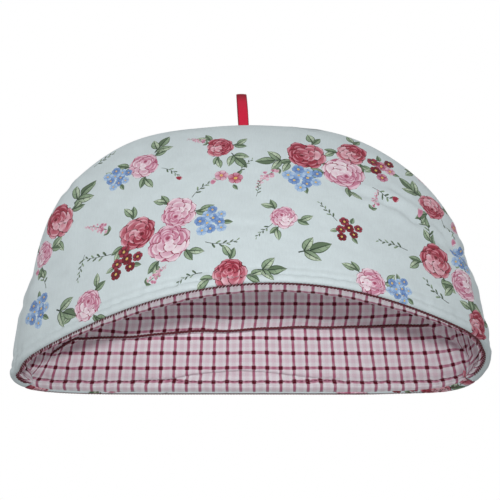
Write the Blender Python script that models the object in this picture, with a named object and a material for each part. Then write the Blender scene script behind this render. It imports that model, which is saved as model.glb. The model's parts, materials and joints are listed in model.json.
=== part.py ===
"""A padded tea cosy standing on its hem with its mouth open, and its ribbon loop.

Two padded outer panels meet along a seam over the top. Two thin lining panels sit inside
them. All lengths are in metres, +Z is up, and the front panel faces -Y.
"""

import math

import bmesh
import bpy
import numpy as np

# The outline.
HEIGHT = 0.202
MID_HALF_WIDTH = 0.1712
TOP_HALF_WIDTH = 0.030
MOUTH_FLARE = 0.0105
FULL_WIDTH_ROW = 0.85
FLARE_START_ROW = 0.78
RIGHT_SHOULDER_DROP = 0.004
RIGHT_SHOULDER_ROW = 0.30
RIGHT_SHOULDER_SPREAD = 0.28
TOP_SHIFT_LEFT = 0.0012

# The depth of the open mouth, and where the top stands over it.
FRONT_REACH = 0.0945
BACK_REACH = 0.0450
WIDEST_Y = 0.003
TOP_Y = -0.040
FRONT_ROUNDNESS = 0.50
BACK_ROUNDNESS = 0.90
FRONT_HEM_SKEW = 0.097
SKEW_AT_SEAMS = 0.85
SKEW_GAIN_IN_FRONT = 0.15

# The cloths.
PADDING = 0.0045
NESTING_GAP = 0.0005
LINING = 0.0013
LINING_HEM_ROLL = 0.0026
LINING_ROLL_HEIGHT = 0.0070
LINING_LIFT = 0.0004
SEAM_HALF_GAP = 0.0002
EDGE_RADIUS = 0.0018

# The hem.
HEM_STITCH_HEIGHT = 0.0076
HEM_STITCH_DEPTH = 0.0009
HEM_STITCH_WIDTH = 0.0017
HEM_ROLL = 0.0007
SECOND_CREASE_HEIGHT = 0.0145
SECOND_CREASE_DEPTH = 0.0008
SECOND_CREASE_WIDTH = 0.0024
SECOND_CREASE_LEAST = 0.25
HEM_ROLL_HEIGHT = 0.0040
HEM_ROLL_WIDTH = 0.0025

# The fold that the back lining makes inside the mouth.
FOLD_REACH = 0.031
FOLD_RISE = 0.022
FOLD_FALL = 0.062
FOLD_FULLNESS = 6.0
FOLD_SHARPNESS = 1.15
FOLD_LIP_DROP = 0.0008

# The hanging loop.
LOOP_X = -0.0055
LOOP_WIDTH = 0.0085
RIBBON = 0.0010
LOOP_HEIGHT = 0.0415
LOOP_TUCK = 0.0040
LOOP_HALF_GAP = 0.0007
LOOP_BELLY = 0.0042
LOOP_BEND = 1.6
LOOP_BELLY_PLACE = 0.8
LOOP_BELLY_SHARPNESS = 1.2
LOOP_CLOSED_SHARE = 0.16
LOOP_LEAN_X = -0.0025
LOOP_LEAN_Y = 0.0030
SLOT_SHIFT = 0.00135
SLOT_HALF_WIDTH = 0.0060
SLOT_EASE = 0.0040
SLOT_DEPTH = 0.0120

# Steps of the meshes.
FRONT_COLUMNS = 56
BACK_COLUMNS = 40
FRONT_INNER_COLUMNS = 28
BACK_INNER_COLUMNS = 32
OUTER_ROWS = 22
INNER_ROWS = 25
HEM_HEIGHTS = (0.0, 0.0009, 0.0022, 0.0041, 0.0060, 0.0076, 0.0094, 0.0119, 0.0145, 0.0180)
FRONT_SEAM_STEPS = (0.034, 0.015, 0.006)
BACK_SEAM_STEPS = (0.034, 0.012)
STEPS_UNDER_FOLD = (0.0, 0.07, 0.16, 0.34, 0.62, 0.97, 1.0)
STEPS_UP_FOLD = (0.12, 0.3, 0.5, 0.7, 0.9, 1.1)
SEAM_STEPS = 400
TOP_SEAM_STEPS = 80
SHARP_ANGLE = 50.0
LOOP_STEPS = 34
SPLINE_STEPS = 60

# One side of the mouth from the middle of the front to the middle of the back, as shares of the
# half width and of the reach. The other side mirrors it. Columns: across, along.
MOUTH = (
    (0.00, -1.015),
    (0.25, -0.955),
    (0.48, -0.795),
    (0.70, -0.545),
    (0.88, -0.290),
    (1.00, -0.080),
    (1.02, 0.420),
    (0.95, 0.880),
    (0.80, 1.005),
    (0.50, 1.005),
    (0.20, 1.000),
    (0.00, 1.000),
)
SEAM_AT_HEM_ACROSS = 0.956

# Creases of the front panel. Columns: x and z of one end, x and z of the other, depth, half width.
CREASES = (
    (0.079, 0.110, 0.104, 0.105, 0.0011, 0.0050),
    (0.104, 0.105, 0.127, 0.093, 0.0014, 0.0050),
    (0.127, 0.093, 0.158, 0.102, 0.0012, 0.0055),
    (0.145, 0.078, 0.167, 0.074, 0.0011, 0.0050),
    (0.045, 0.197, 0.043, 0.156, 0.0007, 0.0050),
    (-0.144, 0.148, -0.123, 0.141, 0.0006, 0.0040),
    (-0.176, 0.054, -0.157, 0.034, 0.0008, 0.0040),
    (0.172, 0.046, 0.176, 0.030, 0.0014, 0.0050),
)
RIDGE_SHARE = 0.5
RIDGE_PLACE = 1.9

# Long soft waves of the padded cloth, per metre. Columns: along x, along z, start, weight.
WAVES = (
    (31, 9, 0.6, 1.0),
    (-16, 47, 1.9, 0.7),
    (73, 38, 4.0, 0.5),
)
FRONT_WAVES = 0.0006
BACK_WAVES = 0.0007
WAVES_START_HEIGHT = 0.03

# Height of the fold's lower line along the back lining. Columns: x, height.
FOLD_LINE = (
    (-0.185, 0.004),
    (-0.168, 0.010),
    (-0.150, 0.028),
    (-0.134, 0.040),
    (-0.094, 0.043),
    (-0.024, 0.047),
    (0.011, 0.050),
    (0.060, 0.051),
    (0.142, 0.050),
    (0.160, 0.034),
    (0.172, 0.014),
    (0.185, 0.006),
)


def mouth_curve():
    """The smooth half of the mouth: share of its length, and the two shares of each point."""
    half = np.array(MOUTH)
    loop = np.vstack([half, half[1:-1][::-1] * (-1, 1)])
    points = []
    step = np.linspace(0.0, 1.0, SPLINE_STEPS, endpoint=False)[:, None]
    for i in range(len(half) - 1):
        a, b, c, d = (loop[(i + j) % len(loop)] for j in (-1, 0, 1, 2))
        points.append(
            (
                a * (1 - step) ** 3
                + b * (3 * step**3 - 6 * step**2 + 4)
                + c * (-3 * step**3 + 3 * step**2 + 3 * step + 1)
                + d * step**3
            )
            / 6
        )
    last = len(half) - 1
    end = (loop[last - 1] + 4 * loop[last] + loop[(last + 1) % len(loop)]) / 6
    points = np.vstack(points + [end[None]])
    across = points[:, 0] / points[:, 0].max()
    along = points[:, 1] / np.where(points[:, 1] < 0, -points[:, 1].min(), points[:, 1].max())
    reach = np.where(along < 0, FRONT_REACH, BACK_REACH)
    steps = np.hypot(np.diff(across * MID_HALF_WIDTH), np.diff(along * reach))
    length = np.concatenate([[0.0], np.cumsum(steps)])
    return length / length[-1], across, along, length[-1]


SHARE, ACROSS, ALONG, HALF_MOUTH = mouth_curve()
WIDEST_INDEX = int(np.argmax(ACROSS))
WIDEST_SHARE = SHARE[WIDEST_INDEX]
HEM_SEAM_SHARE = float(
    np.interp(-SEAM_AT_HEM_ACROSS, -ACROSS[WIDEST_INDEX:], SHARE[WIDEST_INDEX:])
)


def seam_share(row):
    """Where the side seam lies on a row. A row is 1 at the hem and 0 at the top."""
    return WIDEST_SHARE + (HEM_SEAM_SHARE - WIDEST_SHARE) * row**2


def half_width(row):
    grown = np.sin(math.pi / 2 * np.clip(row / FULL_WIDTH_ROW, 0, 1))
    flare = np.clip((row - FLARE_START_ROW) / (1 - FLARE_START_ROW), 0, 1)
    width = TOP_HALF_WIDTH + (MID_HALF_WIDTH - TOP_HALF_WIDTH) * grown
    return width + MOUTH_FLARE * (1 - (1 - flare) ** 2)


def shell(share, row, inset):
    """Points of the cosy's form, shrunk by an inset. A share is 0 at mid front and 1 at mid back."""
    share, row, inset = np.broadcast_arrays(
        np.asarray(share, float), np.asarray(row, float), np.asarray(inset, float)
    )
    side = np.sign(share)
    across = np.interp(np.abs(share), SHARE, ACROSS)
    along = np.interp(np.abs(share), SHARE, ALONG)
    shrink = inset * (1 - (1 - row) ** 4)
    bump = np.exp(-(((row - RIGHT_SHOULDER_ROW) / RIGHT_SHOULDER_SPREAD) ** 2))
    half = half_width(row) - shrink - np.where(side > 0, RIGHT_SHOULDER_DROP * bump, 0.0)
    x = side * across * half - TOP_SHIFT_LEFT * (1 - row**2)
    front = FRONT_REACH * (FRONT_ROUNDNESS * row + (1 - FRONT_ROUNDNESS) * row**2) - shrink
    back = BACK_REACH * (BACK_ROUNDNESS * row + (1 - BACK_ROUNDNESS) * row**2) - shrink
    middle = TOP_Y + (WIDEST_Y - TOP_Y) * row**2
    y = middle + along * np.where(along < 0, front, back)
    in_front = SKEW_AT_SEAMS - SKEW_GAIN_IN_FRONT * along
    skewed = np.where(along < 0, in_front, SKEW_AT_SEAMS * (1 - along))
    y = y - FRONT_HEM_SKEW * x * row**2 * skewed
    z = (HEIGHT - inset) * (1 - row**2)
    return np.stack([x, y, z], -1)


def seam_points():
    """Points close together along the whole seam."""
    row = np.linspace(1.0, 0.0, SEAM_STEPS)
    sides = [shell(sign * seam_share(row), row, 0.0) for sign in (-1, 1)]
    top = shell(np.linspace(-WIDEST_SHARE, WIDEST_SHARE, TOP_SEAM_STEPS), 0.0, 0.0)
    return np.vstack(sides + [top])


SEAM = seam_points()


def seam_distance(points):
    flat = points.reshape(-1, 3)
    found = [np.sqrt(((SEAM - p) ** 2).sum(-1).min()) for p in flat]
    return np.array(found).reshape(points.shape[:-1])


def rounded(distance):
    """How far an edge of the padding is rounded in at a distance from it."""
    short = EDGE_RADIUS - np.clip(distance, 0, EDGE_RADIUS)
    return EDGE_RADIUS - np.sqrt(EDGE_RADIUS**2 - short**2)


def trough(distance, width):
    return np.exp(-((distance / width) ** 2))


def crease_inset(points):
    """The creases as soft troughs, each with a lower ridge on both of its sides."""
    total = np.zeros(points.shape[:-1])
    place = points[..., (0, 2)]
    for x_from, z_from, x_to, z_to, depth, width in CREASES:
        start = np.array((x_from, z_from))
        line = np.array((x_to, z_to)) - start
        along = np.clip(((place - start) @ line) / (line @ line), 0, 1)
        away = np.linalg.norm(place - start - along[..., None] * line, axis=-1)
        ridges = trough(away - RIDGE_PLACE * width, width)
        total += depth * (trough(away, width) - RIDGE_SHARE * ridges)
    return total


def waves(points, strength):
    """Long soft unevenness of the padded cloth, which fades out at the hem."""
    x, z = points[..., 0], points[..., 2]
    soft = sum(weight * np.sin(a * x + b * z + start) for a, b, start, weight in WAVES)
    return strength * soft * np.clip(z / WAVES_START_HEIGHT, 0, 1)


def hem_inset(z, x):
    """The stitched hem: a roll, the groove of its stitches and a softer second crease."""
    roll = -HEM_ROLL * trough(z - HEM_ROLL_HEIGHT, HEM_ROLL_WIDTH)
    stitch = HEM_STITCH_DEPTH * trough(z - HEM_STITCH_HEIGHT, HEM_STITCH_WIDTH)
    second = SECOND_CREASE_DEPTH * trough(z - SECOND_CREASE_HEIGHT, SECOND_CREASE_WIDTH)
    left = np.clip(0.5 - x / (2 * MID_HALF_WIDTH), SECOND_CREASE_LEAST, 1.0)
    return roll + stitch + second * left


def columns(count, close):
    """Places from -1 at the left seam to 1 at the right one, with extra ones close to both."""
    even = np.linspace(-1.0, 1.0, count + 1)[1:-1]
    ends = [1.0 - c for c in close] + [1.0]
    return np.array([-e for e in reversed(ends)] + list(even) + ends)


def rows(count, heights):
    """Rows from the hem up to the top, with extra ones at some heights above the hem."""
    low = [math.sqrt(1 - z / HEIGHT) for z in heights]
    return np.array(low + list(np.linspace(low[-1], 0.0, count + 1)[1:]))


def slot(points, sign):
    """Opens the top seam for the ribbon's two ends."""
    x = np.abs(points[..., 0] - LOOP_X)
    near = np.clip((SLOT_HALF_WIDTH + SLOT_EASE - x) / SLOT_EASE, 0, 1)
    high = np.clip((points[..., 2] - (HEIGHT - SLOT_DEPTH)) / (SLOT_DEPTH / 2), 0, 1)
    points[..., 1] += sign * (SEAM_HALF_GAP + SLOT_SHIFT * near * high)
    return points


def front_share(place, row):
    return place * seam_share(row)


def back_share(place, row):
    """The back runs from the right seam over mid back to the left seam, so place 1 is on the left."""
    side = np.where(place < 0, 1.0, -1.0)
    reach = 1 - (1 - seam_share(row)) * np.abs(place)
    return side * reach


def outer_skin(share_of, places, strength, creased, sign):
    row = rows(OUTER_ROWS, HEM_HEIGHTS)[:, None]
    share = share_of(places[None, :], row)
    plain = shell(share, row, 0.0)
    inset = rounded(seam_distance(plain)) + rounded(plain[..., 2])
    inset = np.minimum(inset, EDGE_RADIUS) + hem_inset(plain[..., 2], plain[..., 0])
    inset += waves(plain, strength)
    if creased:
        inset += crease_inset(plain)
    return slot(shell(share, row, inset), sign)


def rim(grid):
    """The border of a grid as (place along it, row, column). The place counts sides by length."""
    high, wide = grid.shape[0] - 1, grid.shape[1] - 1
    sides = (
        [(i, 0) for i in range(high + 1)],
        [(high, j) for j in range(wide + 1)],
        [(high - i, wide) for i in range(high + 1)],
        [(0, wide - j) for j in range(wide + 1)],
    )
    border = []
    for number, side in enumerate(sides):
        points = np.array([grid[i, j] for i, j in side])
        length = np.cumsum(np.linalg.norm(np.diff(points, axis=0), axis=1))
        shares = np.concatenate([[0.0], length / length[-1]])
        border += [(number + shares[k], *side[k]) for k in range(len(side) - 1)]
    return border


def stitched_solid(outer, inner):
    """Vertices and faces of a closed sheet between two grids, which may differ in steps."""
    vertices = np.vstack([outer.reshape(-1, 3), inner.reshape(-1, 3)])
    faces = []
    for grid, first, flip in ((outer, 0, False), (inner, outer.shape[0] * outer.shape[1], True)):
        high, wide = grid.shape[:2]
        for i in range(high - 1):
            for j in range(wide - 1):
                a = first + i * wide + j
                for corner in ((a, a + 1, a + 1 + wide), (a, a + 1 + wide, a + wide)):
                    faces.append(corner[::-1] if flip else corner)
    offset = outer.shape[0] * outer.shape[1]
    one = [(p, i * outer.shape[1] + j) for p, i, j in rim(outer)]
    two = [(p, offset + i * inner.shape[1] + j) for p, i, j in rim(inner)]
    one.append((4.0, one[0][1]))
    two.append((4.0, two[0][1]))
    i = j = 0
    while i < len(one) - 1 or j < len(two) - 1:
        step_one = j == len(two) - 1 or (
            i < len(one) - 1 and one[i + 1][0] <= two[j + 1][0] + 1e-9
        )
        if step_one:
            faces.append((one[i][1], one[i + 1][1], two[j][1]))
            i += 1
        else:
            faces.append((one[i][1], two[j + 1][1], two[j][1]))
            j += 1
    return vertices, faces


def fold_rows(x):
    """Rows of the inner sides for one column, with a row on the lower line of the fold."""
    line = np.array(FOLD_LINE)
    start = np.interp(x, line[:, 0], line[:, 1])
    low = start * np.array(STEPS_UNDER_FOLD)
    fold = start + FOLD_RISE * np.array(STEPS_UP_FOLD)
    begin = math.sqrt(1 - fold[-1] / HEIGHT)
    up = np.linspace(begin, 0.0, INNER_ROWS - len(low) - len(fold) + 1)[1:]
    return np.concatenate([np.sqrt(1 - np.concatenate([low, fold]) / HEIGHT), up])


def front_places():
    """Share and row of each point of the front's inner sides. Both ends meet the back's rows."""
    places = columns(FRONT_INNER_COLUMNS, ())
    ends = shell(front_share(np.array((-1.0, 1.0)), 1.0), 1.0, PADDING)[:, 0]
    left, right = (fold_rows(v)[:, None] for v in ends)
    row = left + (right - left) * (places[None, :] + 1) / 2
    return front_share(places[None, :], row), row


def back_places():
    """Share and row of each point of the back's inner sides, and each column's place."""
    places = columns(BACK_INNER_COLUMNS, ())
    x = shell(back_share(places, np.ones_like(places)), 1.0, PADDING)[:, 0]
    row = np.array([fold_rows(v) for v in x]).T
    return back_share(places[None, :], row), row, places


def front_panel():
    places = columns(FRONT_COLUMNS, FRONT_SEAM_STEPS)
    outer = outer_skin(front_share, places, FRONT_WAVES, True, -1)
    share, row = front_places()
    return stitched_solid(outer, slot(shell(share, row, PADDING), -1))


def back_panel():
    places = columns(BACK_COLUMNS, BACK_SEAM_STEPS)
    outer = outer_skin(back_share, places, BACK_WAVES, False, 1)
    share, row, _ = back_places()
    return stitched_solid(outer, slot(shell(share, row, PADDING), 1))


def apart(points, sign):
    """Moves a lining's points off the seam between the two linings."""
    points[..., 1] += sign * SEAM_HALF_GAP
    return points


def lifted(points):
    """Keeps the lining's edge just above what the cosy stands on."""
    points[..., 2] = np.maximum(points[..., 2], LINING_LIFT)
    return points


def lining_insets(row):
    """The insets of a lining's two sides. It is thicker where its hem is turned in."""
    z = HEIGHT * (1 - row**2)
    near = PADDING + NESTING_GAP
    return near, near + LINING + LINING_HEM_ROLL * trough(z, LINING_ROLL_HEIGHT)


def fold_reach(x, z, place, drop):
    """How far the back lining's fold stands off the wall. It dies out toward both seams."""
    line = np.array(FOLD_LINE)
    above = z - (np.interp(x, line[:, 0], line[:, 1]) - drop)
    rise = np.clip(above / FOLD_RISE, 0, 1)
    fall = np.clip((above - FOLD_RISE) / FOLD_FALL, 0, 1)
    side = (1 - np.abs(place) ** FOLD_FULLNESS) ** 2
    swell = np.sin(math.pi / 2 * rise) ** FOLD_SHARPNESS
    return (FOLD_REACH + drop) * swell * (0.5 + 0.5 * np.cos(math.pi * fall)) * side


def front_lining():
    share, row = front_places()
    skins = [shell(share, row, inset) for inset in lining_insets(row)]
    return stitched_solid(*[lifted(apart(points, -1)) for points in skins])


def back_lining():
    share, row, places = back_places()
    skins = []
    for inset, drop in zip(lining_insets(row), (0.0, FOLD_LIP_DROP)):
        points = apart(shell(share, row, inset), 1)
        points[..., 1] -= fold_reach(points[..., 0], points[..., 2], places, drop)
        skins.append(lifted(points))
    return stitched_solid(*skins)


def loop_path():
    """The ribbon's middle line beside the top seam, as (y, z), up one leg and down the other."""
    t = np.linspace(-1.0, 1.0, LOOP_STEPS + 1)
    up = 1 - np.abs(t) ** LOOP_BEND
    z = -LOOP_TUCK + (LOOP_HEIGHT + LOOP_TUCK) * up
    free = np.clip(z / LOOP_HEIGHT, 0, 1)
    belly = LOOP_BELLY * np.sin(math.pi * free**LOOP_BELLY_PLACE) ** LOOP_BELLY_SHARPNESS
    close = np.clip(np.abs(t) / LOOP_CLOSED_SHARE, 0, 1)
    y = np.sign(t) * (LOOP_HALF_GAP * np.sin(math.pi / 2 * close) + belly)
    return y, z, free


def hanging_loop():
    y, z, free = loop_path()
    run = np.stack([np.gradient(y), np.gradient(z)], -1)
    run /= np.linalg.norm(run, axis=-1)[:, None]
    side = np.stack([-run[:, 1], run[:, 0]], -1)
    points = []
    for across, off in ((-0.5, -0.5), (0.5, -0.5), (0.5, 0.5), (-0.5, 0.5)):
        x = LOOP_X + LOOP_LEAN_X * free + across * LOOP_WIDTH
        place = np.stack([y, z], -1) + off * RIBBON * side
        lean = TOP_Y + LOOP_LEAN_Y * free**2
        points.append(np.stack([x, lean + place[:, 0], HEIGHT + place[:, 1]], -1))
    rings = np.stack(points, 1)
    faces = [(3, 2, 1, 0)]
    for i in range(len(rings) - 1):
        for k in range(4):
            a, b = 4 * i + k, 4 * i + (k + 1) % 4
            faces.append((a, b, b + 4, a + 4))
    last = 4 * (len(rings) - 1)
    faces.append((last, last + 1, last + 2, last + 3))
    return rings.reshape(-1, 3), faces


def material(name, colour, roughness):
    made = bpy.data.materials.new(name)
    made.use_nodes = True
    shader = made.node_tree.nodes["Principled BSDF"]
    shader.inputs["Base Color"].default_value = (*colour, 1.0)
    shader.inputs["Roughness"].default_value = roughness
    shader.inputs["Metallic"].default_value = 0.0
    return made


def add_object(name, solid, shift, colour, roughness):
    vertices, faces = solid
    mesh = bpy.data.meshes.new(name)
    mesh.from_pydata([tuple(v) for v in vertices + shift], [], [tuple(f) for f in faces])
    work = bmesh.new()
    work.from_mesh(mesh)
    bmesh.ops.recalc_face_normals(work, faces=work.faces)
    work.to_mesh(mesh)
    work.free()
    piece = bpy.data.objects.new(name, mesh)
    bpy.context.scene.collection.objects.link(piece)
    mesh.materials.append(material(name + "_cloth", colour, roughness))
    for polygon in mesh.polygons:
        polygon.use_smooth = True
    mesh.set_sharp_from_angle(angle=math.radians(SHARP_ANGLE))
    return piece


def build():
    for old in list(bpy.data.objects):
        bpy.data.objects.remove(old, do_unlink=True)
    solids = (
        ("front_panel", front_panel(), (0.80, 0.83, 0.82), 0.85),
        ("back_panel", back_panel(), (0.80, 0.83, 0.82), 0.85),
        ("front_lining", front_lining(), (0.84, 0.62, 0.64), 0.85),
        ("back_lining", back_lining(), (0.84, 0.62, 0.64), 0.85),
        ("hanging_loop", hanging_loop(), (0.55, 0.01, 0.04), 0.35),
    )
    every = np.vstack([solid[0] for _, solid, _, _ in solids])
    low, high = every.min(0), every.max(0)
    shift = np.array((-(low[0] + high[0]) / 2, -(low[1] + high[1]) / 2, -low[2]))
    for name, solid, colour, roughness in solids:
        add_object(name, solid, shift, colour, roughness)


build()
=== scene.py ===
"""The tea cosy's looks: printed padded cloth, checked lining, stitching and ribbon."""

import json
import math
import random

import bpy
import numpy as np
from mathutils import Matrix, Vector
from mathutils.geometry import delaunay_2d_cdt

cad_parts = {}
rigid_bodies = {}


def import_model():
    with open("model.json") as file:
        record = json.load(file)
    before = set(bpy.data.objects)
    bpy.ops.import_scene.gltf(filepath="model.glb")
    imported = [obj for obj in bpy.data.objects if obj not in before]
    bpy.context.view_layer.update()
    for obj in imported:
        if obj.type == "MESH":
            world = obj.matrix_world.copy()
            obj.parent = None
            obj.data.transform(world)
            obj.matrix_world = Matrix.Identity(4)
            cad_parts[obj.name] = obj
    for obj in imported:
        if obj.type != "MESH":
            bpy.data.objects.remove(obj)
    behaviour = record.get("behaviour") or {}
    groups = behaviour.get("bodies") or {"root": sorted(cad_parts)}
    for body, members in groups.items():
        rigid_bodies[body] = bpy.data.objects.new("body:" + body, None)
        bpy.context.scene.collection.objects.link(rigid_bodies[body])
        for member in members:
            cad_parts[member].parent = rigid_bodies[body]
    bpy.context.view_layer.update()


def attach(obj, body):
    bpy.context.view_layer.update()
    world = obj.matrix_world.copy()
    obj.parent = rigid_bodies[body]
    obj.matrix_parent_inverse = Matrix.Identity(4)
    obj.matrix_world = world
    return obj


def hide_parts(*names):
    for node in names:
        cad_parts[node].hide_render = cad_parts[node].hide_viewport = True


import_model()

# ---------------------------------------------------------------- the form, in metres

# A row is 0 at the top and 1 at the hem, and a height falls with its square.
SHIFT = np.array((-0.00002, 0.02233, 0.0))
HEIGHT = 0.202
MID_HALF_WIDTH = 0.1712
TOP_HALF_WIDTH = 0.030
MOUTH_FLARE = 0.0105
FULL_WIDTH_ROW = 0.85
FLARE_START_ROW = 0.78
RIGHT_SHOULDER_DROP = 0.004
RIGHT_SHOULDER_ROW = 0.30
RIGHT_SHOULDER_SPREAD = 0.28
TOP_SHIFT_LEFT = 0.0012
FRONT_REACH = 0.0945
BACK_REACH = 0.0450
WIDEST_Y = 0.003
TOP_Y = -0.040
FRONT_ROUNDNESS = 0.50
BACK_ROUNDNESS = 0.90
FRONT_HEM_SKEW = 0.097
SKEW_AT_SEAMS = 0.85
SKEW_GAIN_IN_FRONT = 0.15
PADDING = 0.0045
NESTING_GAP = 0.0005
LINING = 0.0013
LINING_HEM_ROLL = 0.0026
LINING_ROLL_HEIGHT = 0.0070
LINING_LIFT = 0.0004
SEAM_HALF_GAP = 0.0002
EDGE_RADIUS = 0.0018
HEM_STITCH_HEIGHT = 0.0076
HEM_STITCH_DEPTH = 0.0009
HEM_STITCH_WIDTH = 0.0017
HEM_ROLL = 0.0007
HEM_ROLL_HEIGHT = 0.0040
HEM_ROLL_WIDTH = 0.0025
SECOND_CREASE_HEIGHT = 0.0145
SECOND_CREASE_DEPTH = 0.0008
SECOND_CREASE_WIDTH = 0.0024
SECOND_CREASE_LEAST = 0.25
FOLD_REACH = 0.031
FOLD_RISE = 0.022
FOLD_FALL = 0.062
FOLD_FULLNESS = 6.0
FOLD_SHARPNESS = 1.15
FOLD_LIP_DROP = 0.0008
LOOP_X = -0.0044
LOOP_WIDTH = 0.0085
RIBBON = 0.0010
LOOP_HEIGHT = 0.0415
LOOP_TUCK = 0.0040
LOOP_HALF_GAP = 0.0007
LOOP_BELLY = 0.0042
LOOP_BEND = 1.6
LOOP_BELLY_PLACE = 0.8
LOOP_BELLY_SHARPNESS = 1.2
LOOP_CLOSED_SHARE = 0.16
LOOP_LEAN_X = -0.0021
LOOP_LEAN_Y = 0.0030

# One side of the mouth. Columns: across, along.
MOUTH = (
    (0.00, -1.015), (0.25, -0.955), (0.48, -0.795), (0.70, -0.545), (0.88, -0.290), (1.00, -0.080),
    (1.02, 0.420), (0.95, 0.880), (0.80, 1.005), (0.50, 1.005), (0.20, 1.000), (0.00, 1.000),
)
SEAM_AT_HEM_ACROSS = 0.956
SPLINE_STEPS = 60

# Creases of the front. Columns: x and z of one end, x and z of the other, depth, half width.
CREASES = (
    (0.079, 0.110, 0.104, 0.105, 0.0011, 0.0050),
    (0.104, 0.105, 0.127, 0.093, 0.0014, 0.0050),
    (0.127, 0.093, 0.158, 0.102, 0.0012, 0.0055),
    (0.145, 0.078, 0.167, 0.074, 0.0011, 0.0050),
    (0.045, 0.197, 0.043, 0.156, 0.0007, 0.0050),
    (-0.144, 0.148, -0.123, 0.141, 0.0006, 0.0040),
    (-0.176, 0.054, -0.157, 0.034, 0.0008, 0.0040),
    (0.172, 0.046, 0.176, 0.030, 0.0014, 0.0050),
)
# Creases that are finer than the solid's.
FINE_CREASES = (
    (0.146, 0.091, 0.160, 0.077, 0.0011, 0.0036),
    (0.112, 0.122, 0.121, 0.116, 0.0006, 0.0030),
    (0.136, 0.064, 0.152, 0.058, 0.0006, 0.0034),
    (0.160, 0.088, 0.172, 0.083, 0.0009, 0.0034),
    (-0.150, 0.118, -0.137, 0.109, 0.0006, 0.0036),
    (-0.160, 0.070, -0.142, 0.060, 0.0006, 0.0040),
    (-0.090, 0.170, -0.078, 0.158, 0.0005, 0.0036),
    (0.082, 0.168, 0.098, 0.158, 0.0006, 0.0034),
    (-0.020, 0.064, 0.014, 0.058, 0.0004, 0.0045),
)
# How much deeper all creases are here, and how high and how far off their side ridges are.
CREASE_GAIN = 1.3
RIDGE_SHARE = 0.5
RIDGE_PLACE = 1.9

# Long soft waves of the padded cloth, per metre. Columns: along x, along z, start, weight.
WAVES = (
    (31, 9, 0.6, 1.0),
    (-16, 47, 1.9, 0.7),
    (73, 38, 4.0, 0.5),
)
FRONT_WAVES = 0.0006
BACK_WAVES = 0.0007
WAVES_START_HEIGHT = 0.03

# Height of the fold's lower line along the back lining. Columns: x, height.
FOLD_LINE = np.array((
    (-0.185, 0.004), (-0.168, 0.010), (-0.150, 0.028), (-0.134, 0.040), (-0.094, 0.043), (-0.024, 0.047),
    (0.011, 0.050), (0.060, 0.051), (0.142, 0.050), (0.160, 0.034), (0.172, 0.014), (0.185, 0.006),
))


def run_length(points, axis=0):
    """Length along a line of points, or along each row or column of a grid, from 0 at its start."""
    steps = np.linalg.norm(np.diff(points, axis=axis), axis=-1)
    return np.insert(np.cumsum(steps, axis=axis), 0, 0.0, axis=axis)


def mouth_curve():
    """The smooth half of the mouth: share of its length, and the two shares of each point."""
    half = np.array(MOUTH)
    loop = np.vstack([half, half[1:-1][::-1] * (-1, 1)])
    step = np.linspace(0.0, 1.0, SPLINE_STEPS, endpoint=False)[:, None]
    weights = (
        (1 - step) ** 3,
        3 * step**3 - 6 * step**2 + 4,
        -3 * step**3 + 3 * step**2 + 3 * step + 1,
        step**3,
    )
    points = []
    for i in range(len(half) - 1):
        near = [loop[(i + j) % len(loop)] for j in (-1, 0, 1, 2)]
        points.append(sum(weight * point for weight, point in zip(weights, near)) / 6)
    last = len(half) - 1
    end = (loop[last - 1] + 4 * loop[last] + loop[(last + 1) % len(loop)]) / 6
    points = np.vstack(points + [end[None]])
    across = points[:, 0] / points[:, 0].max()
    along = points[:, 1] / np.where(points[:, 1] < 0, -points[:, 1].min(), points[:, 1].max())
    reach = np.where(along < 0, FRONT_REACH, BACK_REACH)
    length = run_length(np.stack([across * MID_HALF_WIDTH, along * reach], -1))
    return length / length[-1], across, along


SHARE, ACROSS, ALONG = mouth_curve()
WIDEST_INDEX = int(np.argmax(ACROSS))
WIDEST_SHARE = SHARE[WIDEST_INDEX]
HEM_SEAM_SHARE = float(np.interp(-SEAM_AT_HEM_ACROSS, -ACROSS[WIDEST_INDEX:], SHARE[WIDEST_INDEX:]))


def seam_share(row):
    return WIDEST_SHARE + (HEM_SEAM_SHARE - WIDEST_SHARE) * row**2


def half_width(row):
    grown = np.sin(math.pi / 2 * np.clip(row / FULL_WIDTH_ROW, 0, 1))
    flare = np.clip((row - FLARE_START_ROW) / (1 - FLARE_START_ROW), 0, 1)
    width = TOP_HALF_WIDTH + (MID_HALF_WIDTH - TOP_HALF_WIDTH) * grown
    return width + MOUTH_FLARE * (1 - (1 - flare) ** 2)


def shell(share, row, inset):
    """Points of the cosy's form, shrunk by an inset. A share is 0 at mid front and 1 at mid back."""
    share, row, inset = np.broadcast_arrays(
        np.asarray(share, float), np.asarray(row, float), np.asarray(inset, float)
    )
    side = np.sign(share)
    across = np.interp(np.abs(share), SHARE, ACROSS)
    along = np.interp(np.abs(share), SHARE, ALONG)
    shrink = inset * (1 - (1 - row) ** 4)
    bump = np.exp(-(((row - RIGHT_SHOULDER_ROW) / RIGHT_SHOULDER_SPREAD) ** 2))
    half = half_width(row) - shrink - np.where(side > 0, RIGHT_SHOULDER_DROP * bump, 0.0)
    x = side * across * half - TOP_SHIFT_LEFT * (1 - row**2)
    front = FRONT_REACH * (FRONT_ROUNDNESS * row + (1 - FRONT_ROUNDNESS) * row**2) - shrink
    back = BACK_REACH * (BACK_ROUNDNESS * row + (1 - BACK_ROUNDNESS) * row**2) - shrink
    middle = TOP_Y + (WIDEST_Y - TOP_Y) * row**2
    y = middle + along * np.where(along < 0, front, back)
    in_front = SKEW_AT_SEAMS - SKEW_GAIN_IN_FRONT * along
    skewed = np.where(along < 0, in_front, SKEW_AT_SEAMS * (1 - along))
    y = y - FRONT_HEM_SKEW * x * row**2 * skewed
    z = (HEIGHT - inset) * (1 - row**2)
    return np.stack([x, y, z], -1)


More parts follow.
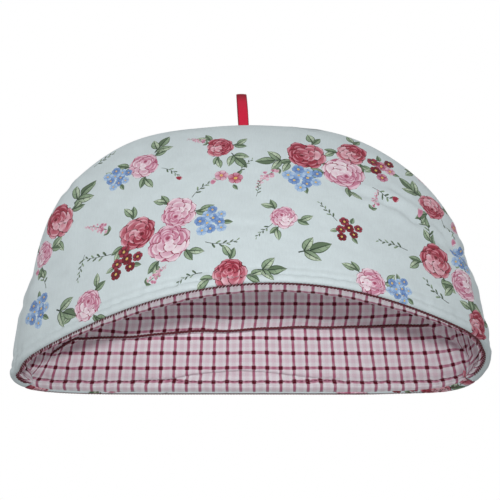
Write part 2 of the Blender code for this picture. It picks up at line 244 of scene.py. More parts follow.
def seam_points():
    row = np.linspace(1.0, 0.0, 500)
    sides = [shell(sign * seam_share(row), row, 0.0) for sign in (-1, 1)]
    top = shell(np.linspace(-WIDEST_SHARE, WIDEST_SHARE, 100), 0.0, 0.0)
    return np.vstack(sides + [top])


SEAM = seam_points()
SEAM_BLOCK = 2000


def seam_distance(points):
    """Distance to the seam, worked out in blocks to spare memory."""
    flat = points.reshape(-1, 3)
    found = np.empty(len(flat))
    for first in range(0, len(flat), SEAM_BLOCK):
        block = flat[first : first + SEAM_BLOCK, None, :]
        found[first : first + SEAM_BLOCK] = np.sqrt(((block - SEAM) ** 2).sum(-1).min(1))
    return found.reshape(points.shape[:-1])


def rounded(distance):
    short = EDGE_RADIUS - np.clip(distance, 0, EDGE_RADIUS)
    return EDGE_RADIUS - np.sqrt(EDGE_RADIUS**2 - short**2)


def trough(distance, width):
    return np.exp(-((distance / width) ** 2))


def crease_inset(points, creases):
    """Creases as soft troughs, each with a lower ridge on both of its sides."""
    total = np.zeros(points.shape[:-1])
    place = points[..., (0, 2)]
    for x_from, z_from, x_to, z_to, depth, width in creases:
        start = np.array((x_from, z_from))
        line = np.array((x_to, z_to)) - start
        along = np.clip(((place - start) @ line) / (line @ line), 0, 1)
        away = np.linalg.norm(place - start - along[..., None] * line, axis=-1)
        ridges = trough(away - RIDGE_PLACE * width, width)
        total += depth * (trough(away, width) - RIDGE_SHARE * ridges)
    return total


def waves(points, strength):
    x, z = points[..., 0], points[..., 2]
    soft = sum(weight * np.sin(a * x + b * z + start) for a, b, start, weight in WAVES)
    return strength * soft * np.clip(z / WAVES_START_HEIGHT, 0, 1)


def hem_inset(z, x):
    """The stitched hem: a roll, the groove of its stitches and a softer second crease."""
    roll = -HEM_ROLL * trough(z - HEM_ROLL_HEIGHT, HEM_ROLL_WIDTH)
    stitch = HEM_STITCH_DEPTH * trough(z - HEM_STITCH_HEIGHT, HEM_STITCH_WIDTH)
    second = SECOND_CREASE_DEPTH * trough(z - SECOND_CREASE_HEIGHT, SECOND_CREASE_WIDTH)
    left = np.clip(0.5 - x / (2 * MID_HALF_WIDTH), SECOND_CREASE_LEAST, 1.0)
    return roll + stitch + second * left


def front_share(place, row):
    return place * seam_share(row)


def back_share(place, row):
    """The back runs from the right seam over mid back to the left seam, so place 1 is on the left."""
    side = np.where(place < 0, 1.0, -1.0)
    reach = 1 - (1 - seam_share(row)) * np.abs(place)
    return side * reach


# ---------------------------------------------------------------- places on the cloth

CLOTH_ROWS = 150
CLOTH_PLACES = 201
MIDDLE_STEPS = 1200
# The width in metres that a half row takes up while the print is cut.
SPAN = 0.20
# How far past its seam each row runs on, as a share of a half row.
PAST_SEAM = 0.03
# How far in the outer cloth's turned edge stands under the hem, and how much more at the corners.
TURNED_IN = 0.0007
CORNER_TURN = 0.0030
CORNER_SHARPNESS = 5.0
RIGHT_TURN = 0.0030
RIGHT_TURN_START = 0.5


class Cloth:
    """A panel's flat cloth: u runs along the rows from the middle, w up the middle from the hem."""

    def __init__(self, share_of):
        self.share_of = share_of
        self.rows = np.linspace(1.0, 0.0, MIDDLE_STEPS)
        self.up = run_length(shell(share_of(np.zeros(MIDDLE_STEPS), self.rows), self.rows, 0.0))
        self.top = self.up[-1]
        self.places = np.linspace(-1.0, 1.0, CLOTH_PLACES)
        row = self.row_at(np.linspace(0.0, self.top, CLOTH_ROWS))[:, None]
        arc = run_length(shell(share_of(self.places[None, :], row), row, 0.0), axis=1)
        self.arc = arc - arc[:, CLOTH_PLACES // 2][:, None]

    def row_at(self, w):
        return np.interp(w, self.up, self.rows)

    def up_to(self, row):
        """The height w of a row of the form."""
        return np.interp(-row, -self.rows, self.up)

    def level(self, w):
        """The stored level under each point, and how far the point lies from it to the next."""
        level = np.clip(w / self.top, 0, 1) * (CLOTH_ROWS - 1)
        low = np.minimum(level.astype(int), CLOTH_ROWS - 2)
        return low, level - low

    def place_at(self, u, w):
        """The place along its row of each point of the cloth. Past a seam it runs on evenly."""
        low, share = self.level(w)
        found = np.zeros_like(u)
        for i in np.unique(low):
            chosen = low == i
            ends = []
            for arc in (self.arc[i], self.arc[i + 1]):
                inside = np.interp(u[chosen], arc, self.places)
                past = np.clip(u[chosen] - arc[-1], 0, None) + np.clip(u[chosen] - arc[0], None, 0)
                ends.append(inside + past / SPAN)
            found[chosen] = ends[0] + (ends[1] - ends[0]) * share[chosen]
        return found

    def across(self, place, w):
        """The cloth's u at places along the rows."""
        low, share = self.level(w)
        spot = (np.clip(place, -1, 1) + 1) / 2 * (CLOTH_PLACES - 1)
        left = np.minimum(spot.astype(int), CLOTH_PLACES - 2)
        part = spot - left
        first = self.arc[low, left] * (1 - part) + self.arc[low, left + 1] * part
        second = self.arc[low + 1, left] * (1 - part) + self.arc[low + 1, left + 1] * part
        return first * (1 - share) + second * share


FRONT = Cloth(front_share)
BACK = Cloth(back_share)

# Small puckers where the hem's stitches draw the cloth in. Columns: waves per metre, start.
PUCKERS = ((430.0, 0.3), (690.0, 2.1), (251.0, 4.4))
PUCKER_DEPTH = 0.00022
PUCKER_WIDTH = 0.0060
# Fine sharp lines in the bottom of the hem's two creases. Columns: height, depth.
HEM_LINES = ((HEM_STITCH_HEIGHT, 0.0006), (SECOND_CREASE_HEIGHT, 0.0004))
HEM_LINE_WIDTH = 0.0007


def puckers(u):
    return PUCKER_DEPTH * sum(np.sin(a * u + start) for a, start in PUCKERS)


def corner_turn(place, sign):
    """How much more of the outer cloth is turned in at the corners, and at the back's right side."""
    place = np.clip(place, -1, 1)
    turn = CORNER_TURN * np.abs(place) ** CORNER_SHARPNESS
    if sign < 0:
        return turn
    return turn + RIGHT_TURN * np.clip((-place - RIGHT_TURN_START) / (1 - RIGHT_TURN_START), 0, 1)


def outer_points(cloth, place, w, strength, creases, sign):
    """Points of a panel's outer side. Below w = 0 it runs under the hem and up on its inside."""
    under = np.clip(-w, 0, None)
    turned_in = TURNED_IN + corner_turn(place, sign)
    inner_height = np.clip(under - turned_in, 0, None)
    row = np.where(under > 0, np.sqrt(1 - inner_height / HEIGHT), cloth.row_at(w))
    share = cloth.share_of(np.clip(place, -1, 1), row)
    plain = shell(share, row, 0.0)
    inset = np.minimum(rounded(seam_distance(plain)) + rounded(plain[..., 2]), EDGE_RADIUS)
    inset += hem_inset(plain[..., 2], plain[..., 0])
    inset += puckers(cloth.across(place, w)) * trough(plain[..., 2] - HEM_STITCH_HEIGHT, PUCKER_WIDTH)
    for height, depth in HEM_LINES:
        inset += depth * trough(plain[..., 2] - height, HEM_LINE_WIDTH)
    inset += waves(plain, strength) + CREASE_GAIN * crease_inset(plain, creases)
    inset = np.where(under > 0, EDGE_RADIUS + np.minimum(under, turned_in), inset)
    past = np.clip(np.abs(place) - 1, 0, None) / PAST_SEAM
    inset = inset + past * (PADDING - EDGE_RADIUS)
    points = shell(share, row, inset)
    points[..., 1] += sign * SEAM_HALF_GAP
    return points + SHIFT


# ---------------------------------------------------------------- drawing the print


def tone(red, green, blue):
    """A colour in linear light from its usual 0 to 255 values."""
    return tuple(
        v / 12.92 if v <= 0.04045 else ((v + 0.055) / 1.055) ** 2.4
        for v in (red / 255, green / 255, blue / 255)
    )


def palette(**tones):
    return {name: tone(*values) for name, values in tones.items()}


GROUND = tone(214, 226, 229)
PINKS = palette(
    deep=(152, 44, 80), rich=(192, 104, 134), mid=(216, 156, 180), light=(234, 202, 216), pale=(248, 238, 243)
)
REDS = palette(
    deep=(88, 8, 26), rich=(138, 24, 46), mid=(174, 62, 82), light=(208, 128, 144), pale=(238, 200, 210)
)
GREENS = palette(deep=(44, 62, 46), rich=(96, 118, 90), mid=(150, 172, 142), light=(194, 210, 184))
BLUES = palette(deep=(94, 126, 186), mid=(134, 170, 218), light=(190, 214, 238))
YELLOW = tone(246, 226, 130)
AMBER = tone(206, 132, 60)
# How much taller than wide the print's motifs are drawn on the cloth.
PRINT_TALL = 1.22

# The print's areas so far, and the place of the motif that is being drawn.
SHAPES = []
ORIGIN = [0.0, 0.0]


def draw(points, near, far, origin, reach):
    """Adds one area to the print, shaded from one colour at its origin to another at its reach."""
    shift = np.array(ORIGIN)
    tall = np.array((1.0, PRINT_TALL))
    SHAPES.append((np.array(points) * tall + shift, near, far, np.array(origin) * tall + shift, reach))


def toward(angle):
    return np.array((math.cos(angle), math.sin(angle)))


def sideways(points):
    """Unit vectors across a line of flat points, to its left."""
    run = np.gradient(points, axis=0)
    return np.stack([-run[:, 1], run[:, 0]], -1) / np.linalg.norm(run, axis=1)[:, None]


def turned(points, angle):
    c, s = math.cos(angle), math.sin(angle)
    return np.array(points) @ np.array(((c, s), (-s, c)))


def petal(base, angle, length, width, near, far, notch, fullness, steps):
    t = np.linspace(0, 2 * math.pi, steps, endpoint=False)
    x = 0.5 - 0.5 * np.cos(t)
    y = 0.5 * np.sin(t) * (1 - fullness + 2 * fullness * x)
    x = x - notch * trough(t - math.pi, 0.35)
    shape = turned(np.stack([x * length, y * width], -1), angle) + base
    draw(shape, near, far, base, length)


def blob(middle, wide, high, turn, near, far, lobes, depth, steps):
    t = np.linspace(0, 2 * math.pi, steps, endpoint=False)
    r = 1 + depth * np.sin(lobes * t + turn * 3)
    shape = turned(np.stack([wide * r * np.cos(t), high * r * np.sin(t)], -1), turn) + middle
    draw(shape, near, far, middle, max(wide, high))


CRESCENT_STEPS = 6


def crescent(middle, radius, start, sweep, thick, near, far):
    t = np.linspace(0, 1, CRESCENT_STEPS)
    angle = start + sweep * t
    outer = np.stack([np.cos(angle), np.sin(angle)], -1) * radius
    inner = outer * (1 - thick * np.sin(math.pi * t))[:, None]
    shape = np.vstack([outer, inner[::-1][1:-1]]) + middle
    draw(shape, near, far, middle + outer[0], radius * abs(sweep))


def stroke(points, start_width, end_width, colour):
    points = np.array(points, float)
    half = sideways(points) * np.linspace(start_width, end_width, len(points))[:, None] / 2
    shape = np.vstack([points + half, (points - half)[::-1]])
    draw(shape, colour, colour, points[0], 1.0)


def curve(start, angle, length, bend, steps):
    """Points along a line that turns evenly by bend."""
    heading = angle + bend * np.linspace(0, 1, steps)
    moves = np.stack([np.cos(heading), np.sin(heading)], -1) * length / (steps - 1)
    return np.vstack([[start], start + np.cumsum(moves[:-1], axis=0)])


# Sizes inside a motif are shares of its length or radius, and angles are in radians.
LEAST_VEINED_LEAF = 0.0105
LEAF_HALF_WIDTH = 0.26
LEAF_POINTS = 7
VEINED_POINTS = (2, 4)


def leaf(base, angle, length, dark, bend=0.25):
    """A leaf with a dark rim, two halves of unlike green, a midrib and side veins."""
    spine = curve(base, angle, length, bend, LEAF_POINTS)
    run = np.gradient(spine, axis=0)
    t = np.linspace(0, 1, LEAF_POINTS)
    half = LEAF_HALF_WIDTH * length * np.sin(math.pi * t**0.8) ** 0.85
    rim = sideways(spine) * half[:, None]
    tones = ("rich", "mid") if dark else ("mid", "light")
    whole = np.vstack([spine + rim, (spine - rim)[::-1][1:-1]])
    draw(whole, GREENS["deep"], GREENS["rich"], base, length)
    for sign, name in ((1, tones[0]), (-1, tones[1])):
        edge = spine + rim * sign * 0.80
        draw(np.vstack([spine, edge[::-1][1:-1]]), GREENS["rich"], GREENS[name], base, 0.5 * length)
    for i in VEINED_POINTS if length > LEAST_VEINED_LEAF else ():
        for sign in (1, -1):
            tip = spine[i] + rim[i] * sign * 0.72 + run[i] * 0.7
            stroke([spine[i], tip], 0.035 * length, 0.012 * length, GREENS["rich"])
    stroke(spine[::2], 0.07 * length, 0.02 * length, GREENS["deep"])


def leaves(base, angle, length, chance, count=3):
    """Leaves that spread from one short stalk."""
    stalk = curve(base, angle, 0.5 * length, chance.uniform(-0.3, 0.3), 5)
    stroke(stalk, 0.07 * length, 0.05 * length, GREENS["deep"])
    for k in range(count):
        off = k - (count - 1) / 2
        lean = off * 0.95 + chance.uniform(-0.15, 0.15)
        long = length * (1.0 - 0.15 * abs(off) + 0.15 * chance.random())
        start = stalk[-1 if k == count // 2 else 2]
        leaf(start, angle + lean, long, (k + count) % 2 == 0, 0.25 * (1 - k % 3))


# A rose's rings from outside in. Columns: petals, ring radius, petal radius, shift of the heart.
ROSE_RINGS = (
    (8, 0.66, 0.35, 0.00),
    (6, 0.50, 0.34, 0.06),
    (6, 0.34, 0.27, 0.14),
    (4, 0.19, 0.20, 0.21),
    (3, 0.08, 0.13, 0.24),
)
# The rings whose petals have dark backs and streaks, and those with the palest petals.
OUTLINED_RINGS = (0, 1, 2)
PALEST_RINGS = (1, 2, 3)
HEART_SHIFT = 0.25


def rose(radius, tones, turn, chance):
    """A full garden rose: rings of petals with dark lines and pale rims round a heart set low."""
    deep, rich, mid, light, pale = (tones[name] for name in ("deep", "rich", "mid", "light", "pale"))
    aim = toward(turn)
    blob((0, 0), 0.90 * radius, 0.86 * radius, turn, deep, rich, 8, 0.04, 24)
    for number, (count, ring, size, shift) in enumerate(ROSE_RINGS):
        for k in range(count):
            angle = turn + 0.5 * number + 2 * math.pi * (k + 0.4 * chance.random()) / count
            out = toward(angle)
            spot = (aim * shift + out * ring * (0.93 + 0.1 * chance.random())) * radius
            big = size * radius * (0.85 + 0.35 * chance.random())
            facing = -math.cos(angle - turn) + 0.9 * (chance.random() - 0.5)
            lit = facing > 0.1
            near, far = (mid, light) if lit else (rich, mid)
            if facing > 0.7 and number in PALEST_RINGS:
                near, far = light, pale
            if number in OUTLINED_RINGS:
                blob(spot, 0.95 * big, 1.14 * big, angle, rich, deep, 3, 0.05, 8)
            blob(spot + 0.02 * out * radius, 0.82 * big, 1.0 * big, angle, near, far, 3, 0.07, 9)
            crescent(spot, 0.90 * big, angle - 1.0, 2.0, 0.34, light, pale if lit else light)
            if number in OUTLINED_RINGS and k % 2 == 0:
                streak = curve(spot - out * 0.5 * big, angle + chance.uniform(-0.5, 0.5), 0.8 * big, 0.4, 3)
                stroke(streak, 0.13 * big, 0.03 * big, mid if lit else deep)
    heart = aim * HEART_SHIFT * radius
    blob(heart, 0.14 * radius, 0.11 * radius, turn, deep, rich, 3, 0.1, 9)
    for k, size in enumerate((0.20, 0.12)):
        crescent(heart, size * radius, turn + 2.4 * k, 2.6, 0.34, mid, light)


def floret(middle, radius, turn, near, far):
    """A small flower of five parted petals, darker toward its yellow eye."""
    for k in range(5):
        angle = turn + 2 * math.pi * k / 5
        petal(middle, angle, 1.04 * radius, 0.88 * radius, near, near, 0.12, 0.45, 9)
        inner = middle + 0.24 * radius * toward(angle)
        petal(inner, angle, 0.76 * radius, 0.68 * radius, near, far, 0.12, 0.40, 9)
    blob(middle, 0.25 * radius, 0.22 * radius, turn, AMBER, YELLOW, 5, 0.12, 6)


def bunch(radius, turn, count, pairs, floret_share):
    """Florets crowded together in a loose round bunch."""
    for k in range(count):
        angle = turn + 2.4 * k
        spot = 0.86 * radius * math.sqrt((k + 0.4) / count) * toward(angle)
        floret(spot, radius * floret_share * (1 - 0.07 * (k % 3)), angle, *pairs[k % len(pairs)])


def spray(length, turn, pairs, chance):
    """A bending spike of small buds, thick below and thin at its tip."""
    spine = curve((0, 0), turn, length, 0.5, 12)
    stroke(spine, 0.04 * length, 0.015 * length, GREENS["rich"])
    for i in range(3, 12):
        wide = 0.16 * length * (1 - 0.70 * (i - 3) / 8)
        for k in range(4):
            spot = spine[i] + np.array((chance.uniform(-1, 1), chance.uniform(-1, 1))) * wide
            size = wide * (0.34 + 0.2 * chance.random())
            near, far = pairs[(i + k) % len(pairs)]
            blob(spot, size, size * 0.85, chance.random() * 6, near, far, 3, 0.20, 7)


def twig(length, turn, chance, buds=None):
    """A thin dark stem with small narrow leaves by turns, and perhaps buds on its tip."""
    spine = curve((0, 0), turn, length, chance.uniform(-0.9, 0.9), 10)
    stroke(spine, 0.022 * length, 0.010 * length, GREENS["deep"])
    heading = np.gradient(spine, axis=0)
    for i in range(2, 10):
        lean = (0.85 if i % 2 else -0.85) * (1 - 0.05 * i)
        angle = math.atan2(heading[i][1], heading[i][0]) + lean
        long = length * (0.24 - 0.012 * i)
        near, far = ("deep", "rich") if i % 3 else ("rich", "mid")
        petal(spine[i], angle, long, 0.34 * long, GREENS[near], GREENS[far], 0.0, 0.2, 6)
    if buds:
        tip = spine[-1]
        blob(tip, 0.13 * length, 0.09 * length, turn, buds["rich"], buds["mid"], 3, 0.1, 10)
        crescent(tip, 0.11 * length, turn - 0.8, 1.6, 0.4, buds["light"], buds["pale"])


PINK_PAIRS = ((PINKS["deep"], PINKS["mid"]), (PINKS["rich"], PINKS["light"]))
RED_PAIRS = ((REDS["deep"], REDS["rich"]), (REDS["deep"], REDS["mid"]))
DAISY_PAIRS = ((REDS["mid"], PINKS["mid"]), (PINKS["rich"], PINKS["light"]))
BLUE_PAIRS = ((BLUES["deep"], BLUES["mid"]), (BLUES["mid"], BLUES["light"]))
MIXED_PAIRS = (PINK_PAIRS[0], RED_PAIRS[0], PINK_PAIRS[1], RED_PAIRS[1])

# The print's motifs in centimetres on the flat cloth. Columns: kind, u, w, size, turn in degrees.
MOTIFS = (
    # the large posy high on the right
    ("rose_red", 4.6, 15.3, 1.6, 200),
    ("rose_pink", 7.4, 13.4, 1.75, 300),
    ("rose_red", 8.3, 16.4, 1.3, 60),
    ("bunch_blue", 4.3, 12.0, 1.5, 10),
    ("bunch_mixed", 10.6, 14.9, 1.4, 80),
    ("spray_pink", 2.4, 13.2, 2.6, 215),
    ("bud_red", 9.6, 11.9, 2.0, -35),
    ("leaves", 2.9, 14.4, 1.5, 190),
    # the large posy low on the left
    ("rose_pink", -6.0, 5.2, 1.75, 100),
    ("rose_red", -8.6, 7.2, 1.58, 330),
    ("rose_pink", -5.3, 8.4, 1.45, 230),
    ("bunch_red", -9.6, 4.4, 1.4, 40),
    ("bunch_blue", -2.7, 6.9, 1.35, 70),
    ("spray_pink", -11.0, 8.3, 2.4, 140),
    ("bud_pink", -4.3, 10.0, 2.2, 60),
    ("twig", -3.2, 4.6, 2.4, -25),
    ("twig", -10.6, 5.7, 2.6, 175),
    # the posy at the left edge
    ("rose_red", -15.7, 11.4, 1.48, 140),
    ("rose_pink", -17.5, 8.9, 1.1, 20),
    ("leaves", -14.2, 12.6, 1.6, 40),
    ("bunch_blue", -17.8, 3.4, 1.3, 30),
    ("leaves", -15.9, 2.6, 1.5, -30),
    ("bud_pink", -17.0, 5.2, 2.2, 100),
    # the posy at the right edge
    ("rose_red", 14.6, 5.4, 1.45, 80),
    ("rose_pink", 17.2, 4.2, 1.3, 200),
    ("bunch_blue", 17.3, 7.0, 1.2, 60),
    ("bud_pink", 14.2, 7.3, 2.6, 95),
    ("twig", 12.2, 5.6, 2.4, 170),
    # roses and sprigs between the posies
    ("rose_pink", -8.3, 15.0, 1.3, 60),
    ("bunch_blue", -10.4, 14.1, 1.15, 0),
    ("leaves", -7.4, 16.4, 1.5, 60),
    ("bud_red", -6.8, 14.2, 2.0, -20),
    ("rose_red", -2.2, 16.4, 1.15, 30),
    ("spray_pink", -3.2, 17.0, 1.8, 140),
    ("leaves", -1.3, 15.5, 1.3, -60),
    ("daisies", -1.4, 12.0, 1.1, 10),
    ("twig", -0.8, 12.7, 1.8, 60),
    ("rose_pink", 2.6, 7.0, 1.05, 120),
    ("twig", 1.8, 6.3, 1.8, 220),
    ("bunch_red", 7.3, 6.2, 1.15, 50),
    ("twig", 6.6, 7.0, 2.0, 130),
    ("spray_pink", 9.4, 9.2, 2.0, 60),
    ("twig", 0.6, 9.6, 1.6, 75),
    ("rose_red", 14.7, 11.6, 1.2, 260),
    ("leaves", 13.6, 12.5, 1.4, 140),
    ("bud_pink", 15.6, 10.6, 2.0, -50),
    ("daisies", 17.9, 10.4, 1.0, 20),
    ("twig", -12.6, 16.4, 2.0, 40),
    ("twig", -13.2, 6.8, 2.0, 250),
    # motifs that the hem cuts or that lie close to it
    ("leaves", 3.6, 3.2, 1.7, 20),
    ("rose_red", -1.4, 1.0, 1.3, 90),
    ("leaves", 0.6, 1.2, 1.4, 0),
    ("twig", -3.4, 1.5, 2.0, 175),
    ("rose_pink", 8.9, 1.0, 1.2, 10),
    ("bunch_blue", 11.3, 1.1, 1.1, 45),
    ("rose_pink", -12.9, 1.6, 1.25, 70),
    ("rose_red", 18.6, 0.9, 1.1, 20),
    ("twig", 15.6, 1.6, 2.4, 170),
    ("spray_pink", -7.8, 1.6, 2.0, 20),
    ("rose_pink", 15.0, 16.0, 1.3, 60),
)
PALETTES = {"pink": PINKS, "red": REDS}
# The bunches. Columns: florets, colours, floret radius as a share of the bunch's.
BUNCHES = {
    "bunch_blue": (10, BLUE_PAIRS, 0.34),
    "bunch_red": (6, RED_PAIRS, 0.36),
    "bunch_mixed": (6, MIXED_PAIRS, 0.38),
    "daisies": (2, DAISY_PAIRS, 0.55),
}
THIRD_TURN = 2.1


def draw_greens(kind, size, turn, chance):
    """The leaves that lie under a flower."""
    if kind.startswith("rose"):
        for k in range(3):
            angle = turn + THIRD_TURN * k + chance.uniform(-0.4, 0.4)
            leaves(0.72 * size * toward(angle), angle, 0.0062 + 0.36 * size, chance, 2)
    elif kind in BUNCHES:
        for k in range(3):
            angle = turn + THIRD_TURN * k + chance.random()
            leaf(0.6 * size * toward(angle), angle, 0.0030 + 0.34 * size, k % 2 == 0)
    elif kind == "spray_pink":
        for lean in (0.9, -0.8):
            leaf((0, 0), turn + lean, 0.24 * size, True)


def draw_motif(kind, size, turn, chance):
    form, _, colour = kind.partition("_")
    if kind in BUNCHES:
        bunch(size, turn, *BUNCHES[kind])
    elif form == "rose":
        rose(size, PALETTES[colour], turn, chance)
    elif form == "leaves":
        leaves((0, 0), turn, size, chance)
    elif form == "spray":
        spray(size, turn, PINK_PAIRS + (PINK_PAIRS[1],), chance)
    else:
        twig(size, turn, chance, PALETTES.get(colour))


# The print repeats after these lengths. Its lowest part starts a little under the hem.
PRINT_WIDE = 0.42
PRINT_HIGH = 0.235
PRINT_LOW = 0.02


def draw_print(shift_u, shift_w):
    """The shapes of the whole print, moved over the cloth as far as another cut of it would be."""
    SHAPES.clear()
    for draw_layer in (draw_greens, draw_motif):
        for number, (kind, u, w, size, turn) in enumerate(MOTIFS):
            u, w = u / 100 + shift_u, w / 100 + shift_w
            u = (u + PRINT_WIDE / 2) % PRINT_WIDE - PRINT_WIDE / 2
            w = (w + PRINT_LOW) % PRINT_HIGH - PRINT_LOW
            ORIGIN[:] = (u, w)
            draw_layer(kind, size / 100, math.radians(turn), random.Random(number))
    return list(SHAPES)


# ---------------------------------------------------------------- meshes

CLOTH_STEP = 0.0028
# An area of the print narrower than this once cut to the cloth lies off it.
LEAST_AREA = 0.00002
# Heights of the cloth's points under and over the hem's edge, and then over its stitched lines.
HEM_LEVELS = (-0.0120, -0.0080, -0.0040, -0.0020, -0.0007, -0.0003, 0.0, 0.0003, 0.0008, 0.0013)
LINE_LEVELS = tuple(0.0019 + 0.0010 * i for i in range(22))


def new_piece(name, vertices, faces):
    mesh = bpy.data.meshes.new(name)
    mesh.from_pydata(np.asarray(vertices).tolist(), [], [list(map(int, f)) for f in faces])
    mesh.polygons.foreach_set("use_smooth", [True] * len(mesh.polygons))
    piece = bpy.data.objects.new(name, mesh)
    bpy.context.scene.collection.objects.link(piece)
    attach(piece, "root")
    return piece


def set_cloth_uv(mesh, flat):
    corners = np.empty(len(mesh.loops), dtype=np.int64)
    mesh.loops.foreach_get("vertex_index", corners)
    layer = mesh.uv_layers.new(name="Cloth")
    layer.data.foreach_set("uv", flat[corners].astype(np.float32).ravel())


def cloth_spots(cloth):
    """Even spots over a panel's whole cloth, closer together at the hem, as place times span and w."""
    low = HEM_LEVELS + LINE_LEVELS
    count = int((cloth.top - low[-1]) / CLOTH_STEP)
    levels = np.concatenate([low, np.linspace(low[-1], cloth.top, count + 1)[1:]])
    past = np.array((PAST_SEAM, PAST_SEAM / 2))
    spots = []
    for number, w in enumerate(levels):
        arc = cloth.arc[int(np.clip(w / cloth.top, 0, 1) * (CLOTH_ROWS - 1))]
        even = np.linspace(-1, 1, max(24, int((arc[-1] - arc[0]) / CLOTH_STEP)) + 1)
        if number % 2:
            even = np.concatenate([[-1], (even[1:] + even[:-1]) / 2, [1]])
        even = np.concatenate([-1 - past, even, 1 + past[::-1]])
        spots.append(np.stack([even * SPAN, np.full(len(even), w)], -1))
    return np.vstack(spots), levels[0], levels[-1]


def inside(points, polygon):
    """Which points lie in a polygon."""
    found = np.zeros(len(points), bool)
    x, y = points[:, 0], points[:, 1]
    before = polygon[-1]
    for corner in polygon:
        crosses = (corner[1] > y) != (before[1] > y)
        if crosses.any():
            slope = (before[0] - corner[0]) / (before[1] - corner[1] + 1e-30)
            found ^= crosses & (x < (y - corner[1]) * slope + corner[0])
        before = corner
    return found


def motif_of(middles, outlines):
    """The number of the last area of the print that each face lies in, or -1."""
    found = np.full(len(middles), -1)
    order = np.argsort(middles[:, 0])
    sorted_x = middles[order, 0]
    for number, outline in enumerate(outlines):
        low, high = outline.min(0), outline.max(0)
        start, stop = np.searchsorted(sorted_x, (low[0], high[0]))
        near = order[start:stop]
        near = near[(middles[near, 1] >= low[1]) & (middles[near, 1] <= high[1])]
        found[near[inside(middles[near], outline)]] = number
    return found


def printed_panel(name, cloth, shapes, strength, creases, sign):
    """A panel's printed side, cut along the outline of every motif so that the print is sharp."""
    spots, lowest, highest = cloth_spots(cloth)
    edge = (1 + PAST_SEAM) * SPAN
    flat = np.vstack([shape[0] for shape in shapes])
    place = cloth.place_at(flat[:, 0], flat[:, 1])
    flat = np.clip(np.stack([place * SPAN, flat[:, 1]], -1), (-edge, lowest), (edge, highest))
    outlines = np.split(flat, np.cumsum([len(shape[0]) for shape in shapes])[:-1])
    seen = [i for i, outline in enumerate(outlines) if np.ptp(outline, axis=0).min() > LEAST_AREA]
    outlines, shapes = [outlines[i] for i in seen], [shapes[i] for i in seen]
    points = [Vector(p) for p in np.vstack([spots] + outlines).tolist()]
    edges = []
    first = len(spots)
    for outline in outlines:
        edges += [(first + i, first + (i + 1) % len(outline)) for i in range(len(outline))]
        first += len(outline)
    made = delaunay_2d_cdt(points, edges, [], 0, 1e-7, False)
    flat = np.array([tuple(p) for p in made[0]])
    faces = np.array([f for f in made[2] if len(f) == 3])
    top = motif_of(flat[faces].mean(1), outlines)
    place, w = flat[:, 0] / SPAN, flat[:, 1]
    on_cloth = np.stack([cloth.across(place, w), w], -1)
    piece = new_piece(name, outer_points(cloth, place, w, strength, creases, sign), faces)
    set_cloth_uv(piece.data, on_cloth)
    near, far, origin, reach = (
        np.array([shape[i] for shape in shapes] + [plain])[top][:, None]
        for i, plain in ((1, GROUND), (2, GROUND), (3, (0.0, 0.0)), (4, 1.0))
    )
    share = np.clip(np.linalg.norm(on_cloth[faces] - origin, axis=-1) / reach, 0, 1)[..., None]
    colour = np.ones((len(faces), 3, 4), dtype=np.float32)
    colour[..., :3] = near + (far - near) * share
    layer = piece.data.color_attributes.new("Print", "FLOAT_COLOR", "CORNER")
    layer.data.foreach_set("color", colour.ravel())
    return piece


LINING_COLUMNS = 240
# The turned hem of a lining: how its inside and its edge rise, and how far out they lie.
LINING_ROLL_RISE = 0.0012
LINING_ROLL_EDGE = 0.0008
LINING_ROLL_OUT = 0.0022
BACK_ROLL_OUT = 0.0012
ROLL_ROWS = 14
# The front's hem is plumper by this in its middle, and no longer so past these places.
FRONT_ROLL_MORE = 0.0062
ROLL_FADE = (0.40, 0.80)
# Rows for the wall under the fold, for the fold's rise and for the rest, and how they crowd.
LINING_ROWS = (88, 44, 44)
WALL_CROWDING = 1.25
RISE_CROWDING = 1.3
RISE_SHARE = 1.2
# Small waves of the linings. Columns: along x and along z per metre, start, weight.
LINING_WAVES = ((58, 14, 0.4, 0.4), (97, -41, 2.2, 0.3), (33, 76, 5.0, 0.4))
LINING_WAVE = 0.0005
CALM_HEM = 0.006
# Puckers over the hem's edge, and the dent of the outer cloth's stitches.
LINING_PUCKER_HEIGHT = 0.006
LINING_PUCKER_WIDTH = 0.010
STITCH_DENT = 0.0005
STITCH_DENT_WIDTH = 0.0016
# The seam that holds the back lining's turned hem.
LINING_STITCH_HEIGHT = 0.0050
LINING_SEAM_DEPTH = 0.0009
LINING_SEAM_WIDTH = 0.0008
# The fold's lower edge sags over the wall: how far, how soon and over which length.
FOLD_SAG = 0.0062
FOLD_SAG_START = 0.0008
FOLD_SAG_LENGTH = 0.0075
SAG_WAVES = ((41, 0.5, 0.16), (77, 2.0, 0.12), (163, 4.4, 0.06))

# How the check lies on the linings.
HEM_FAN = 0.040
FAN_HEIGHT = 0.050
CHECK_START_U = 0.0063
CHECK_START_V = 0.00355
FRONT_CHECK_START_U = 0.0053
FRONT_CHECK_START_V = -0.0024
# The fold's cloth leans away, so its rows lie closer together, and it is pulled a little aside.
FOLD_GAIN = 0.20
FOLD_SHIFT = 0.0024
FOLD_SHIFT_HEIGHT = 0.006

# The low ridge of the back lining, as points of x and z.
LOW_RIDGE = (
    (-0.090, 0.0045), (-0.062, 0.0052), (-0.046, 0.0092), (-0.030, 0.0110), (-0.007, 0.0122),
    (0.020, 0.0105), (0.050, 0.0068), (0.074, 0.0060),
)
